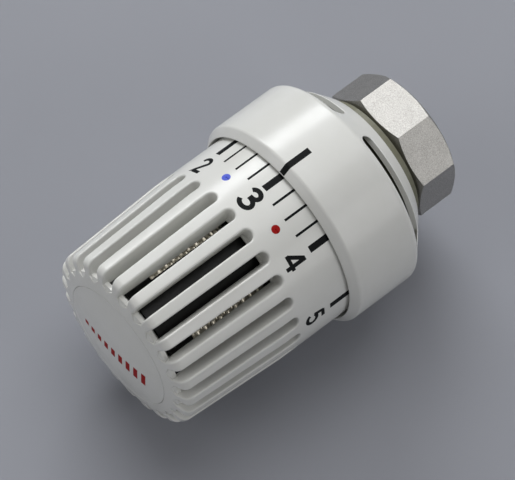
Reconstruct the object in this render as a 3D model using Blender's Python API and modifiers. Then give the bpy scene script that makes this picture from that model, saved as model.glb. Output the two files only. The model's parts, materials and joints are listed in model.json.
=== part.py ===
"""Thermostatic radiator valve head with a liquid-filled sensor.

The head is designed standing on its union nut: heights run up from the nut's rear face, which is
where the valve body's thread enters. A parent empty then lays it on its side, so in the world the
axis is Y, the nut's mouth looks along +Y and the setting mark on the collar is at the top (+Z).
All driving sizes are in millimetres and become metres in the helpers.
"""

import math

import bmesh
import bpy
from mathutils import Matrix

MM = 0.001
STEPS = 48          # segments of a large turned piece
INNER_STEPS = 36    # segments of a piece inside the knob
SMALL_STEPS = 24    # segments of a small turned piece

# Clearances
SNAP_GAP = 0.2      # pieces that snap together
REST_GAP = 0.3      # faces that rest on each other
RUN_GAP = 0.4       # pieces that turn or slide in each other
BORE_GAP = 0.5      # handwheel's bore round the socket body and the carrier

# Union nut, for the M30 x 1.5 thread of a radiator valve
NUT_LENGTH = 11.8
NUT_THREAD_RADIUS = 14.6
NUT_WALL = 1.4      # least wall between the thread and a flat
NUT_ACROSS_FLATS = 2.0 * (NUT_THREAD_RADIUS + NUT_WALL)
NUT_SIDES = 8
NUT_FACE_LAND = 0.5     # flat ring between the bore and the chamfer
NUT_CHAMFER_RADIUS = NUT_THREAD_RADIUS + NUT_FACE_LAND
NUT_CHAMFER_ANGLE = 30.0
NUT_FLANGE = 2.0
NUT_TURN = -1.9     # how far a flat is turned from the setting mark, degrees

# Sleeve inside the nut and the neck in front of it
SLEEVE_SHRINK = 2.1     # the valve's thread comes in between the nut and the sleeve
SLEEVE_RADIUS = NUT_THREAD_RADIUS - SLEEVE_SHRINK
SLEEVE_WALL = 1.5
SLEEVE_TIP = 4.5
SLEEVE_CHAMFER = 0.5
NECK_STEP = 3.8
NECK_RADIUS = SLEEVE_RADIUS + NECK_STEP
NECK_WALL = 2.3
WELL_RADIUS = NECK_RADIUS - NECK_WALL
WEB_BOTTOM = NUT_LENGTH + 1.7
WEB_THICKNESS = 2.5
WEB_TOP = WEB_BOTTOM + WEB_THICKNESS
RING_WIRE = 1.1
RING_GROOVE_DEPTH = 0.6
RING_OPENING = 24.0     # gap of the nut's snap ring, degrees
GRIP_WALL = 1.6
GRIP_TEETH = 18
GRIP_TOOTH_GAP = 1.4
GRIP_TOOTH_DEPTH = 0.8
GRIP_TOOTH_LENGTH = 3.0
GRIP_LOW = SLEEVE_TIP + 2.0

# Sensor can, the innermost large piece; the radii of the pieces round it follow from it
CAN_RADIUS = 15.0
CAN_HEIGHT = 26.1
CAN_WALL = 0.5
CAN_FLANGE = 1.2
CAN_FLANGE_HEIGHT = 0.8
CAN_CORNER = 1.5

# Sensor carrier: seat, outer flange, legs and the cage round the can
CAGE_WALL = 0.8
CAGE_INNER = CAN_RADIUS + CAN_FLANGE + RUN_GAP
CAGE_OUTER = CAGE_INNER + CAGE_WALL
CAGE_OPENINGS = 5
CAGE_OPENING_ARC = 21.0     # width of one opening, degrees
CAGE_TURN = -14.5           # angle of the first opening's middle from the setting mark, degrees
LEG_COUNT = 3
LEG_WIDTH = 6.0
LEG_THICKNESS = 1.8
LEG_INNER = CAGE_OUTER + SNAP_GAP
LEG_OUTER = LEG_INNER + LEG_THICKNESS
SEAT_WIDTH = 2.0            # how far the seat reaches under the can
CARRIER_SEAT_INNER = CAN_RADIUS - SEAT_WIDTH
CARRIER_SEAT = 1.4
CARRIER_FLANGE = 2.0
CARRIER_RIM = 1.4           # solid rim outside the air holes
AIR_HOLE_ARC = 76.0
AIR_HOLE_MARGIN = 0.6

# Socket body, the fixed core inside the collar
SOCKET_WALL = 1.8
SOCKET_LEG_WALL = 1.0       # left outside the grooves of the carrier's legs
SOCKET_RADIUS = LEG_OUTER + SOCKET_LEG_WALL + SOCKET_WALL
GUIDE_RING_WIDTH = 3.8
GUIDE_RING_RADIUS = SOCKET_RADIUS - SOCKET_WALL - GUIDE_RING_WIDTH
CARRIER_RADIUS = SOCKET_RADIUS

# Handwheel, the slotted knob with the printed scale
WHEEL_BORE = SOCKET_RADIUS + BORE_GAP
WHEEL_WALL = 1.7
SCALE_RADIUS = WHEEL_BORE + WHEEL_WALL
WHEEL_EDGE = 0.5
RIB_TAPER = 1.6             # how much slimmer the ribbed part is at its front
RIB_FRONT_RADIUS = SCALE_RADIUS - RIB_TAPER
WHEEL_CORNER = 2.2
DOME_RADIUS = 82.0
DRUM_GAP = 1.6
DRUM_RADIUS = CAGE_OUTER + DRUM_GAP
DRUM_FLOOR = 0.7            # wall between the drum's bore and the grooves' floor
SLOT_COUNT = 24
SLOT_WIDTH = 3.06
WINDOW_INSET = 0.13         # how much narrower a window is than its groove, on each side
WINDOW_WIDTH = SLOT_WIDTH - 2.0 * WINDOW_INSET
WINDOW_LAND = 0.9       # from the groove's round end to the window
CAP_RADIUS = 16.1
CAP_LEDGE = 1.4
CAP_LEDGE_INNER = CAP_RADIUS - 2.3
CAP_LEDGE_OUTER = CAP_RADIUS + 1.1
CAP_LEG_WALL = 1.2
CAP_BARB = 0.5
CAP_BARB_HEIGHT = 1.4
CAP_LEG_COUNT = 4
CAP_LEG_SLIT = 5.0

# Collar, the skirt that carries the setting mark
LIP_GAP = 0.7               # between the collar's lip and the scale
LIP_WIDTH = 2.0
COLLAR_LIP_RADIUS = SCALE_RADIUS + LIP_GAP
COLLAR_RADIUS = COLLAR_LIP_RADIUS + LIP_WIDTH
COLLAR_WALL = 1.1
COLLAR_LIP_DEPTH = 3.0
COLLAR_LIP_ROUND = 1.9
CONE_ANGLE = 47.3
CONE_SHOULDER = 3.4         # flat ring between the neck and the cone
CONE_SMALL_RADIUS = NECK_RADIUS + CONE_SHOULDER
CONE_EDGE_ROUND = 1.6
CONE_WALL = 2.0
COLLAR_FLOOR = 2.8
VENT_COUNT = 4
VENT_BRIDGE = 18.0          # solid between two vents, degrees
VENT_WIDTH = 2.3
VENT_OUTER_RADIUS = COLLAR_RADIUS - COLLAR_WALL - REST_GAP
VENT_INNER_RADIUS = VENT_OUTER_RADIUS - VENT_WIDTH

# Drive thread between the socket body and the handwheel
THREAD_LEAD = 8.0
THREAD_STARTS = 2
THREAD_DEPTH = 0.7
THREAD_WIDTH = 1.2
THREAD_LUG_ARC = 60.0
THREAD_ROOT = 0.4           # how deep a thread bar is rooted in its piece
THREAD_RUN_OUT = 3.0

# Setting range: numbers 0 to 5 round the scale, the head rests at 3
DEGREES_PER_NUMBER = 41.0
REST_NUMBER = 3
LAST_NUMBER = 5
CLOSING_TURN = REST_NUMBER * DEGREES_PER_NUMBER
OPENING_TURN = (LAST_NUMBER - REST_NUMBER) * DEGREES_PER_NUMBER
CLOSING_TRAVEL = THREAD_LEAD * CLOSING_TURN / 360.0
OPENING_TRAVEL = THREAD_LEAD * OPENING_TURN / 360.0

# Heights, each built up from the piece below it
NECK_LENGTH = 2.6           # from the nut to the collar
SHELL_GAP = 0.97            # between the socket body's rear edge and the collar's cone
LUG_GAP = 0.267             # between the stop lug and the socket's rim at the lowest setting
WHEEL_GAP = 2.867           # between the handwheel's rear edge and the socket's floor there
COLLAR_REAR = NUT_LENGTH + NECK_LENGTH
CONE_START = COLLAR_REAR + CONE_EDGE_ROUND / 2.0
CONE_SLOPE = math.tan(math.radians(CONE_ANGLE))
CONE_INSIDE = CONE_START + CONE_WALL / math.sin(math.radians(CONE_ANGLE))
SOCKET_EDGE = CONE_INSIDE + (SOCKET_RADIUS - CONE_SMALL_RADIUS) / CONE_SLOPE + SHELL_GAP
SOCKET_FLOOR = SOCKET_EDGE - 0.8
BOSS_RADIUS = 5.6
BOSS_TOP = SOCKET_FLOOR + 3.6
WHEEL_BOTTOM = SOCKET_FLOOR + CLOSING_TRAVEL + WHEEL_GAP
GUIDE_RING_LOW = SOCKET_FLOOR + 7.6
GUIDE_RING_HEIGHT = 3.0
GUIDE_RING_HIGH = GUIDE_RING_LOW + GUIDE_RING_HEIGHT
LEG_BOTTOM = WHEEL_BOTTOM + 1.0
SOCKET_TOP = SOCKET_FLOOR + 18.1
THREAD_LUG_HEIGHT = SOCKET_TOP - 5.5
COLLAR_HEIGHT = SOCKET_TOP + 2.5
LUG_LOW = SOCKET_TOP + CLOSING_TRAVEL + LUG_GAP
LUG_HEIGHT = 2.5
CARRIER_LOW = LUG_LOW + LUG_HEIGHT + 5.0
WASHER_THICKNESS = 0.6      # between the carrier's flange and the handwheel's shoulder
SHOULDER_HEIGHT = CARRIER_LOW + CARRIER_FLANGE + 2.0 * SNAP_GAP + WASHER_THICKNESS
SLOT_END = SHOULDER_HEIGHT + 3.1
WINDOW_END = SLOT_END + WINDOW_LAND
RIB_START = SLOT_END + 4.2
PLATE_THICKNESS = 1.0
CAN_LOW = CARRIER_LOW + CARRIER_SEAT + REST_GAP + PLATE_THICKNESS + SNAP_GAP
CAN_TOP = CAN_LOW + CAN_HEIGHT
CAGE_OPENING_LOW = SLOT_END + 1.9
DRUM_TOP = CAN_TOP + 8.3
CAP_SEAT = DRUM_TOP + REST_GAP
DOME_TOP = DRUM_TOP + 3.8
CAGE_TOP = CAP_SEAT - CAP_LEDGE - RUN_GAP

# Stop pins in the rim of the socket body and the handwheel's stop lug
PIN_RADIUS = 0.6
PIN_DEPTH = 3.0
PIN_CHAMFER = 0.2
PIN_PLACE = SOCKET_RADIUS - SOCKET_WALL / 2.0
PIN_ANGLE_PLAY = 2.0
LUG_INNER_RADIUS = PIN_PLACE - 0.5
LUG_WIDTH = 3.0
LUG_ROOT = 0.6

# Rest of the sensor
PLATE_HOLE = 4.0
BELLOWS_INNER = 5.0
BELLOWS_OUTER = 7.6
BELLOWS_WALL = 0.35
BELLOWS_FOLDS = 6
BELLOWS_PITCH = 2.5
BELLOWS_ROOF = 0.8
STUB_RADIUS = 1.1
STUB_FOOT_RADIUS = 1.9
STUB_HEIGHT = 4.2
RETAINER_HEIGHT = 1.0
CARRIER_RING_WIDTH = 1.0
CARRIER_RING_HEIGHT = 0.8
CARRIER_RING_BITE = 0.5

# Push rod with its over-travel spring
CUP_TOP = CARRIER_LOW - 1.0
CUP_LENGTH = 18.0
CUP_BOTTOM = CUP_TOP - CUP_LENGTH
CUP_RADIUS = 8.0
CUP_WALL = 1.0
CUP_ROOF = 1.5
CUP_CHAMFER = 0.6
CUP_RING_LOW = CUP_BOTTOM + 1.0
CUP_RING_HEIGHT = 0.8
CUP_RING_BITE = 0.4
CUP_RING_WIDTH = 2.5
ROD_RADIUS = 2.5
ROD_TIP = SLEEVE_TIP + 1.5
ROD_FLANGE_RADIUS = CUP_RADIUS - CUP_WALL - 0.7
ROD_FLANGE_LOW = CUP_RING_LOW + CUP_RING_HEIGHT + RUN_GAP
ROD_FLANGE = 1.6
ROD_SPIGOT_TOP = ROD_FLANGE_LOW + 7.8
ROD_SPIGOT_RADIUS = 3.0
ROD_CHAMFER = 0.6
SPIGOT_CHAMFER = 0.4
SPRING_WIRE = 0.9
SPRING_TURNS = 5
SPRING_END = 0.9            # share of a turn that lies flat at each end
THRUST_RADIUS = 2.4
THRUST_CHAMFER = 0.8
BUSH_WALL = 0.6
BUSH_INNER = ROD_RADIUS + REST_GAP
BUSH_OUTER = BUSH_INNER + BUSH_WALL

# Materials: linear base colour, roughness, metallic
FINISHES = {
    "white_abs": ((0.83, 0.83, 0.80), 0.32, 0.0),
    "white_abs_inner": ((0.70, 0.70, 0.68), 0.50, 0.0),
    "black_acetal": ((0.02, 0.02, 0.02), 0.40, 0.0),
    "nickel_brass": ((0.60, 0.57, 0.51), 0.35, 1.0),
    "brass": ((0.72, 0.50, 0.20), 0.30, 1.0),
    "spring_steel": ((0.55, 0.56, 0.57), 0.28, 1.0),
    "sensor_metal": ((0.70, 0.69, 0.66), 0.20, 1.0),
    "copper": ((0.75, 0.36, 0.22), 0.30, 1.0),
    "ptfe": ((0.88, 0.88, 0.86), 0.40, 0.0),
}


def clear_scene():
    """Removes whatever the file opened with."""
    for obj in list(bpy.data.objects):
        bpy.data.objects.remove(obj)


def finish(name):
    """The Principled material of this name, made once."""
    material = bpy.data.materials.get(name)
    if material is None:
        material = bpy.data.materials.new(name)
        material.use_nodes = True
        colour, roughness, metallic = FINISHES[name]
        shader = material.node_tree.nodes["Principled BSDF"]
        shader.inputs["Base Color"].default_value = (*colour, 1.0)
        shader.inputs["Roughness"].default_value = roughness
        shader.inputs["Metallic"].default_value = metallic
    return material


def add(name, mesh, material):
    """A model object of this mesh on the head's axis."""
    obj = bpy.data.objects.new(name, mesh)
    model.objects.link(obj)
    obj.parent = axis_frame
    mesh.materials.append(finish(material))
    return obj


def smooth(obj):
    """Smooth shading with the real edges kept sharp."""
    obj.data.shade_smooth()
    obj.data.set_sharp_from_angle(angle=math.radians(30))


def arc(centre, radius, start, end, count):
    """Points (r, z) on an arc; angles in degrees, 0 along +r and 90 along +z."""
    points = []
    for step in range(count + 1):
        angle = math.radians(start + (end - start) * step / count)
        points.append((centre[0] + radius * math.cos(angle), centre[1] + radius * math.sin(angle)))
    return points


def turned(name, outline, material, steps=STEPS):
    """Turns an outline of (radius, height) points round the axis.

    The outline runs down its outer side. One that starts and ends on the axis makes a solid
    piece, and any other is a closed loop that makes a ring or a tube.
    """
    mesh = bpy.data.meshes.new(name)
    vertices = [(radius * MM, 0.0, height * MM) for radius, height in outline]
    edges = [(i, i + 1) for i in range(len(vertices) - 1)]
    on_axis = outline[0][0] == 0.0 and outline[-1][0] == 0.0
    if not on_axis:
        edges.append((len(vertices) - 1, 0))
    mesh.from_pydata(vertices, edges, [])
    obj = add(name, mesh, material)
    screw = obj.modifiers.new("turn", "SCREW")
    screw.steps = steps
    screw.render_steps = steps
    screw.use_merge_vertices = True
    screw.merge_threshold = 0.000001
    screw.use_smooth_shade = True
    return obj


def ring(name, inner, outer, low, high, material, steps=STEPS):
    """A plain ring with square edges."""
    outline = [(outer, high), (outer, low), (inner, low), (inner, high)]
    return turned(name, outline, material, steps)


def at_angle(psi):
    """Turns what is built at +X to the angle psi, counted from the setting mark."""
    return Matrix.Rotation(math.radians(90.0 - psi), 4, "Z")


def prism(bm, points, low, high):
    """Adds an upright prism over flat points (x, y) in mm, listed counter-clockwise."""
    count = len(points)
    bottom = [bm.verts.new((x * MM, y * MM, low * MM)) for x, y in points]
    top = [bm.verts.new((x * MM, y * MM, high * MM)) for x, y in points]
    bm.faces.new(bottom[::-1])
    bm.faces.new(top)
    for i in range(count):
        j = (i + 1) % count
        bm.faces.new((bottom[i], bottom[j], top[j], top[i]))
    return bottom + top


def box(bm, x, y, z, turn=None):
    """Adds a box from ranges in mm, turned by a matrix."""
    corners = [(x[0], y[0]), (x[1], y[0]), (x[1], y[1]), (x[0], y[1])]
    verts = prism(bm, corners, z[0], z[1])
    if turn is not None:
        bmesh.ops.transform(bm, matrix=turn, verts=verts)
    return verts


def sector(bm, inner, outer, start, end, low, high, count=10):
    """Adds a curved bar between two radii, from angle start to end in psi degrees."""
    def rim(radius, first, last):
        return arc((0.0, 0.0), radius, 90.0 - first, 90.0 - last, count)
    points = rim(outer, end, start) + rim(inner, start, end)
    return prism(bm, points, low, high)


def cutter(name, bm):
    """A hidden helper object, in the collection of cutters."""
    mesh = bpy.data.meshes.new(name)
    bmesh.ops.recalc_face_normals(bm, faces=bm.faces)
    bm.to_mesh(mesh)
    bm.free()
    obj = bpy.data.objects.new(name, mesh)
    cutters.objects.link(obj)
    obj.parent = axis_frame
    obj.hide_render = True
    obj.display_type = "WIRE"
    return obj


def boolean(obj, helper, operation):
    """Cuts or joins a helper with an exact Boolean modifier."""
    modifier = obj.modifiers.new(helper.name, "BOOLEAN")
    modifier.operation = operation
    modifier.object = helper
    modifier.solver = "EXACT"


def dome_height(radius):
    """Height of the knob's domed front at a radius."""
    return DOME_TOP - DOME_RADIUS + math.sqrt(DOME_RADIUS**2 - radius**2)


def cone_height(radius):
    """Height of the collar's rear cone at a radius."""
    return CONE_START + (radius - CONE_SMALL_RADIUS) / CONE_SLOPE


def cone_inner_height(radius):
    """Height of the cone's inner face at a radius."""
    return CONE_INSIDE + (radius - CONE_SMALL_RADIUS) / CONE_SLOPE


def cone_inner_radius(height):
    """Radius of the cone's inner face at a height."""
    return CONE_SMALL_RADIUS + (height - CONE_INSIDE) * CONE_SLOPE


def fillet(corner, before, after, radius, count=5):
    """Arc points that round a corner between two neighbouring outline points."""
    bx, bz = before[0] - corner[0], before[1] - corner[1]
    ax, az = after[0] - corner[0], after[1] - corner[1]
    lb, la = math.hypot(bx, bz), math.hypot(ax, az)
    bx, bz, ax, az = bx / lb, bz / lb, ax / la, az / la
    half = math.acos(max(-1.0, min(1.0, bx * ax + bz * az))) / 2.0
    reach = min(radius / math.tan(half), 0.95 * lb, 0.95 * la)
    radius = reach * math.tan(half)
    mx, mz = bx + ax, bz + az
    lm = math.hypot(mx, mz)
    centre = (corner[0] + mx / lm * radius / math.sin(half), corner[1] + mz / lm * radius / math.sin(half))
    start = (corner[0] + bx * reach, corner[1] + bz * reach)
    end = (corner[0] + ax * reach, corner[1] + az * reach)
    first = math.atan2(start[1] - centre[1], start[0] - centre[0])
    last = math.atan2(end[1] - centre[1], end[0] - centre[0])
    sweep = (last - first + math.pi) % (2.0 * math.pi) - math.pi
    return arc(centre, radius, math.degrees(first), math.degrees(first + sweep), count)


def build_union_nut():
    """Octagonal nut: a chamfered prism with a thread bore and an inward front flange."""
    corner_radius = NUT_ACROSS_FLATS / 2.0 / math.cos(math.pi / NUT_SIDES)
    depth = (corner_radius - NUT_CHAMFER_RADIUS) * math.tan(math.radians(NUT_CHAMFER_ANGLE))
    flange_low = NUT_LENGTH - NUT_FLANGE
    hole = SLEEVE_RADIUS + RUN_GAP
    obj = turned("union_nut", [
        (NUT_CHAMFER_RADIUS, NUT_LENGTH),
        (corner_radius, NUT_LENGTH - depth),
        (corner_radius, depth),
        (NUT_CHAMFER_RADIUS, 0.0),
        (NUT_THREAD_RADIUS, 0.0),
        (NUT_THREAD_RADIUS, flange_low),
        (hole, flange_low),
        (hole, NUT_LENGTH),
    ], "nickel_brass")
    bm = bmesh.new()
    flats = []
    for side in range(NUT_SIDES):
        angle = math.radians(90.0 - NUT_TURN + 180.0 / NUT_SIDES + side * 360.0 / NUT_SIDES)
        flats.append((corner_radius * math.cos(angle), corner_radius * math.sin(angle)))
    prism(bm, flats, -NUT_FLANGE, NUT_LENGTH + NUT_FLANGE)
    boolean(obj, cutter("nut_octagon", bm), "INTERSECT")
    return obj


def build_collar():
    """Skirt with a rounded front lip, a rear cone and four curved vents."""
    inner = COLLAR_RADIUS - COLLAR_WALL
    cone_top = (COLLAR_RADIUS, cone_height(COLLAR_RADIUS))
    cone_low = (CONE_SMALL_RADIUS, cone_height(CONE_SMALL_RADIUS))
    rear_inner = (NECK_RADIUS + REST_GAP, COLLAR_REAR)
    floor = COLLAR_REAR + COLLAR_FLOOR
    lip_low = COLLAR_HEIGHT - COLLAR_LIP_DEPTH
    outline = arc((COLLAR_RADIUS - COLLAR_LIP_ROUND, COLLAR_HEIGHT - COLLAR_LIP_ROUND),
                  COLLAR_LIP_ROUND, 90.0, 0.0, 6)
    outline += fillet(cone_top, outline[-1], cone_low, CONE_EDGE_ROUND)
    shoulder = (CONE_SMALL_RADIUS - CONE_SHOULDER / 3.0, COLLAR_REAR)
    outline += fillet(cone_low, cone_top, shoulder, CONE_EDGE_ROUND / 2.0, 3)
    outline += [
        shoulder,
        rear_inner,
        (rear_inner[0], floor),
        (cone_inner_radius(floor), floor),
        (inner, cone_inner_height(inner)),
        (inner, lip_low - (inner - COLLAR_LIP_RADIUS)),
        (COLLAR_LIP_RADIUS, lip_low),
        (COLLAR_LIP_RADIUS, COLLAR_HEIGHT - SNAP_GAP),
    ]
    obj = turned("collar", outline, "white_abs")
    bm = bmesh.new()
    pitch = 360.0 / VENT_COUNT
    for vent in range(VENT_COUNT):
        start = vent * pitch + VENT_BRIDGE / 2.0
        sector(bm, VENT_INNER_RADIUS, VENT_OUTER_RADIUS, start, start + pitch - VENT_BRIDGE,
               COLLAR_REAR, cone_inner_height(inner))
    boolean(obj, cutter("vent_cutter", bm), "DIFFERENCE")
    return obj


def build_socket_body():
    """Fixed core: thread sleeve, keyed guide ring, neck, rod boss and the nut's sleeve."""
    bush = BUSH_OUTER + SNAP_GAP
    sleeve_inner = SLEEVE_RADIUS - SLEEVE_WALL
    groove_mid = NUT_LENGTH - NUT_FLANGE - REST_GAP - RING_WIRE / 2.0
    groove_half = RING_WIRE / 2.0 + SNAP_GAP
    shelf = COLLAR_REAR + COLLAR_FLOOR + REST_GAP
    socket_inner = SOCKET_RADIUS - SOCKET_WALL
    neck_low = NUT_LENGTH + REST_GAP
    obj = turned("socket_body", [
        (SOCKET_RADIUS, SOCKET_TOP),
        (SOCKET_RADIUS, SOCKET_EDGE),
        (cone_inner_radius(shelf) - REST_GAP, shelf),
        (NECK_RADIUS, shelf),
        (NECK_RADIUS, neck_low),
        (SLEEVE_RADIUS, neck_low),
        (SLEEVE_RADIUS, groove_mid + groove_half),
        (SLEEVE_RADIUS - RING_GROOVE_DEPTH, groove_mid + groove_half),
        (SLEEVE_RADIUS - RING_GROOVE_DEPTH, groove_mid - groove_half),
        (SLEEVE_RADIUS, groove_mid - groove_half),
        (SLEEVE_RADIUS, SLEEVE_TIP + SLEEVE_CHAMFER),
        (SLEEVE_RADIUS - SLEEVE_CHAMFER, SLEEVE_TIP),
        (sleeve_inner, SLEEVE_TIP),
        (sleeve_inner, WEB_BOTTOM),
        (bush, WEB_BOTTOM),
        (bush, BOSS_TOP),
        (BOSS_RADIUS, BOSS_TOP),
        (BOSS_RADIUS, WEB_TOP),
        (WELL_RADIUS, WEB_TOP),
        (WELL_RADIUS, SOCKET_FLOOR),
        (socket_inner, SOCKET_FLOOR),
        (socket_inner, GUIDE_RING_LOW),
        (GUIDE_RING_RADIUS, GUIDE_RING_LOW),
        (GUIDE_RING_RADIUS, GUIDE_RING_HIGH),
        (socket_inner, GUIDE_RING_HIGH),
        (socket_inner, SOCKET_TOP),
    ], "white_abs_inner")
    bm = bmesh.new()
    for leg in range(LEG_COUNT):
        half = LEG_WIDTH / 2.0 + REST_GAP
        box(bm, (LEG_INNER - REST_GAP, LEG_OUTER + REST_GAP), (-half, half),
            (GUIDE_RING_LOW - 1.0, GUIDE_RING_HIGH + 1.0), at_angle(leg * 360.0 / LEG_COUNT))
    for angle, _ in stop_pins():
        hole = PIN_RADIUS + SNAP_GAP / 2.0
        circle = arc((PIN_PLACE, 0.0), hole, 0.0, 360.0, 12)[:-1]
        verts = prism(bm, circle, SOCKET_TOP - PIN_DEPTH, SOCKET_TOP + 1.0)
        bmesh.ops.transform(bm, matrix=at_angle(angle), verts=verts)
    boolean(obj, cutter("socket_cutter", bm), "DIFFERENCE")
    for start in range(THREAD_STARTS):
        lug = helix_bar("drive_lug", SOCKET_RADIUS - THREAD_ROOT, SOCKET_RADIUS + THREAD_DEPTH, THREAD_WIDTH,
                        THREAD_LUG_HEIGHT, start * 360.0 / THREAD_STARTS, -THREAD_LUG_ARC / 2.0,
                        THREAD_LUG_ARC / 2.0, 10)
        boolean(obj, lug, "UNION")
    return obj


def helix_bar(name, inner, outer, width, height, psi, start, end, count):
    """A bar that climbs with the drive thread; it passes psi at the given height.

    Its section is narrower at the crest. Turning clockwise seen from the cap screws the
    handwheel down, so the bar falls as psi grows.
    """
    bm = bmesh.new()
    sections = []
    taper = (outer - inner) * 0.3
    for step in range(count + 1):
        turn = start + (end - start) * step / count
        angle = math.radians(90.0 - psi - turn)
        z = height - THREAD_LEAD * turn / 360.0
        corners = [(inner, z - width / 2.0 - taper), (outer, z - width / 2.0),
                   (outer, z + width / 2.0), (inner, z + width / 2.0 + taper)]
        sections.append([
            bm.verts.new((r * math.cos(angle) * MM, r * math.sin(angle) * MM, h * MM))
            for r, h in corners
        ])
    for one, two in zip(sections, sections[1:]):
        for i in range(4):
            j = (i + 1) % 4
            bm.faces.new((one[i], one[j], two[j], two[i]))
    bm.faces.new(sections[0][::-1])
    bm.faces.new(sections[-1])
    return cutter(name, bm)


def stop_pins():
    """(angle, top) of the pin at each end of the range; the lug is opposite the mark at rest."""
    half = math.degrees((LUG_WIDTH / 2.0 + PIN_RADIUS) / PIN_PLACE) + PIN_ANGLE_PLAY
    low_top = LUG_LOW - CLOSING_TRAVEL + LUG_HEIGHT
    high_top = LUG_LOW + OPENING_TRAVEL + LUG_HEIGHT * 0.6
    return [(180.0 + CLOSING_TURN + half, low_top), (180.0 - OPENING_TURN - half, high_top)]


def build_stop_pins():
    """Steel pins in the socket's rim that end the handwheel's turn."""
    for name, (angle, top) in zip(("stop_pin_low", "stop_pin_high"), stop_pins()):
        pin = turned(name, [
            (0.0, top),
            (PIN_RADIUS - PIN_CHAMFER, top),
            (PIN_RADIUS, top - PIN_CHAMFER),
            (PIN_RADIUS, SOCKET_TOP - PIN_DEPTH + REST_GAP),
            (0.0, SOCKET_TOP - PIN_DEPTH + REST_GAP),
        ], "spring_steel", steps=12)
        pin.matrix_local = at_angle(angle) @ Matrix.Translation((PIN_PLACE * MM, 0.0, 0.0))


def wheel_outline():
    """Outline of the handwheel: ribbed barrel, domed front with the cap's seat, and bores."""
    slope = (SCALE_RADIUS - RIB_FRONT_RADIUS) / (DOME_TOP - RIB_START)
    dome_edge = dome_height(RIB_FRONT_RADIUS)
    corner = (SCALE_RADIUS - slope * (dome_edge - RIB_START), dome_edge)
    cap_hole = CAP_RADIUS + SNAP_GAP
    before_rim = RIB_FRONT_RADIUS - 2.8
    stations = (cap_hole, (cap_hole + before_rim) / 2.0, before_rim)
    dome = [(radius, dome_height(radius)) for radius in stations]
    rim = fillet(corner, dome[-1], (SCALE_RADIUS, RIB_START), WHEEL_CORNER, 5)
    groove_low = carrier_ring_low() - SNAP_GAP
    groove_high = carrier_ring_low() + CARRIER_RING_HEIGHT + SNAP_GAP
    groove = WHEEL_BORE + CARRIER_RING_BITE + SNAP_GAP
    return dome + rim + [
        (SCALE_RADIUS, RIB_START),
        (SCALE_RADIUS, WHEEL_BOTTOM + WHEEL_EDGE),
        (SCALE_RADIUS - WHEEL_EDGE, WHEEL_BOTTOM),
        (WHEEL_BORE, WHEEL_BOTTOM),
        (WHEEL_BORE, groove_low),
        (groove, groove_low),
        (groove, groove_high),
        (WHEEL_BORE, groove_high),
        (WHEEL_BORE, SHOULDER_HEIGHT),
        (DRUM_RADIUS, SHOULDER_HEIGHT),
        (DRUM_RADIUS, DRUM_TOP),
        (CAP_LEDGE_OUTER, DRUM_TOP),
        (CAP_LEDGE_OUTER, CAP_SEAT - CAP_LEDGE),
        (CAP_LEDGE_INNER, CAP_SEAT - CAP_LEDGE),
        (CAP_LEDGE_INNER, CAP_SEAT),
        (cap_hole, CAP_SEAT),
    ]


def build_handwheel():
    """Knob with 24 grooves, each with a through window, a stop lug and drive grooves inside."""
    obj = turned("handwheel", wheel_outline(), "white_abs")
    floor = DRUM_RADIUS + DRUM_FLOOR
    half = SLOT_WIDTH / 2.0
    grooves = bmesh.new()
    windows = bmesh.new()
    lying = Matrix.Rotation(math.radians(90.0), 4, "Y") @ Matrix.Rotation(math.radians(90.0), 4, "Z")
    for slot in range(SLOT_COUNT):
        turn = at_angle(slot * 360.0 / SLOT_COUNT)
        round_end = arc((0.0, SLOT_END + half), half, 180.0, 360.0, 8)
        outline = round_end + [(half, DOME_TOP + 2.0), (-half, DOME_TOP + 2.0)]
        verts = prism(grooves, outline, floor, SCALE_RADIUS + 3.0)
        bmesh.ops.transform(grooves, matrix=turn @ lying, verts=verts)
        side = WINDOW_WIDTH / 2.0
        box(windows, (DRUM_RADIUS - 1.0, floor + 1.0), (-side, side), (WINDOW_END, DRUM_TOP - 0.05), turn)
    boolean(obj, cutter("groove_cutter", grooves), "DIFFERENCE")
    boolean(obj, cutter("window_cutter", windows), "DIFFERENCE")
    helix_from = (THREAD_LUG_HEIGHT - WHEEL_BOTTOM + THREAD_RUN_OUT / 2.0) * 360.0 / THREAD_LEAD
    helix_to = -(CLOSING_TRAVEL + THREAD_RUN_OUT) * 360.0 / THREAD_LEAD
    for start in range(THREAD_STARTS):
        thread = helix_bar("drive_groove", WHEEL_BORE - 2.0 * THREAD_ROOT, SOCKET_RADIUS + THREAD_DEPTH + RUN_GAP,
                           THREAD_WIDTH + 2.0 * REST_GAP, THREAD_LUG_HEIGHT,
                           start * 360.0 / THREAD_STARTS, helix_to - THREAD_LUG_ARC / 2.0, helix_from, 56)
        boolean(obj, thread, "DIFFERENCE")
    lug = bmesh.new()
    lug_half = LUG_WIDTH / 2.0
    box(lug, (LUG_INNER_RADIUS, WHEEL_BORE + LUG_ROOT), (-lug_half, lug_half),
        (LUG_LOW, LUG_LOW + LUG_HEIGHT), at_angle(180.0))
    boolean(obj, cutter("stop_lug", lug), "UNION")
    return obj


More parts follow.
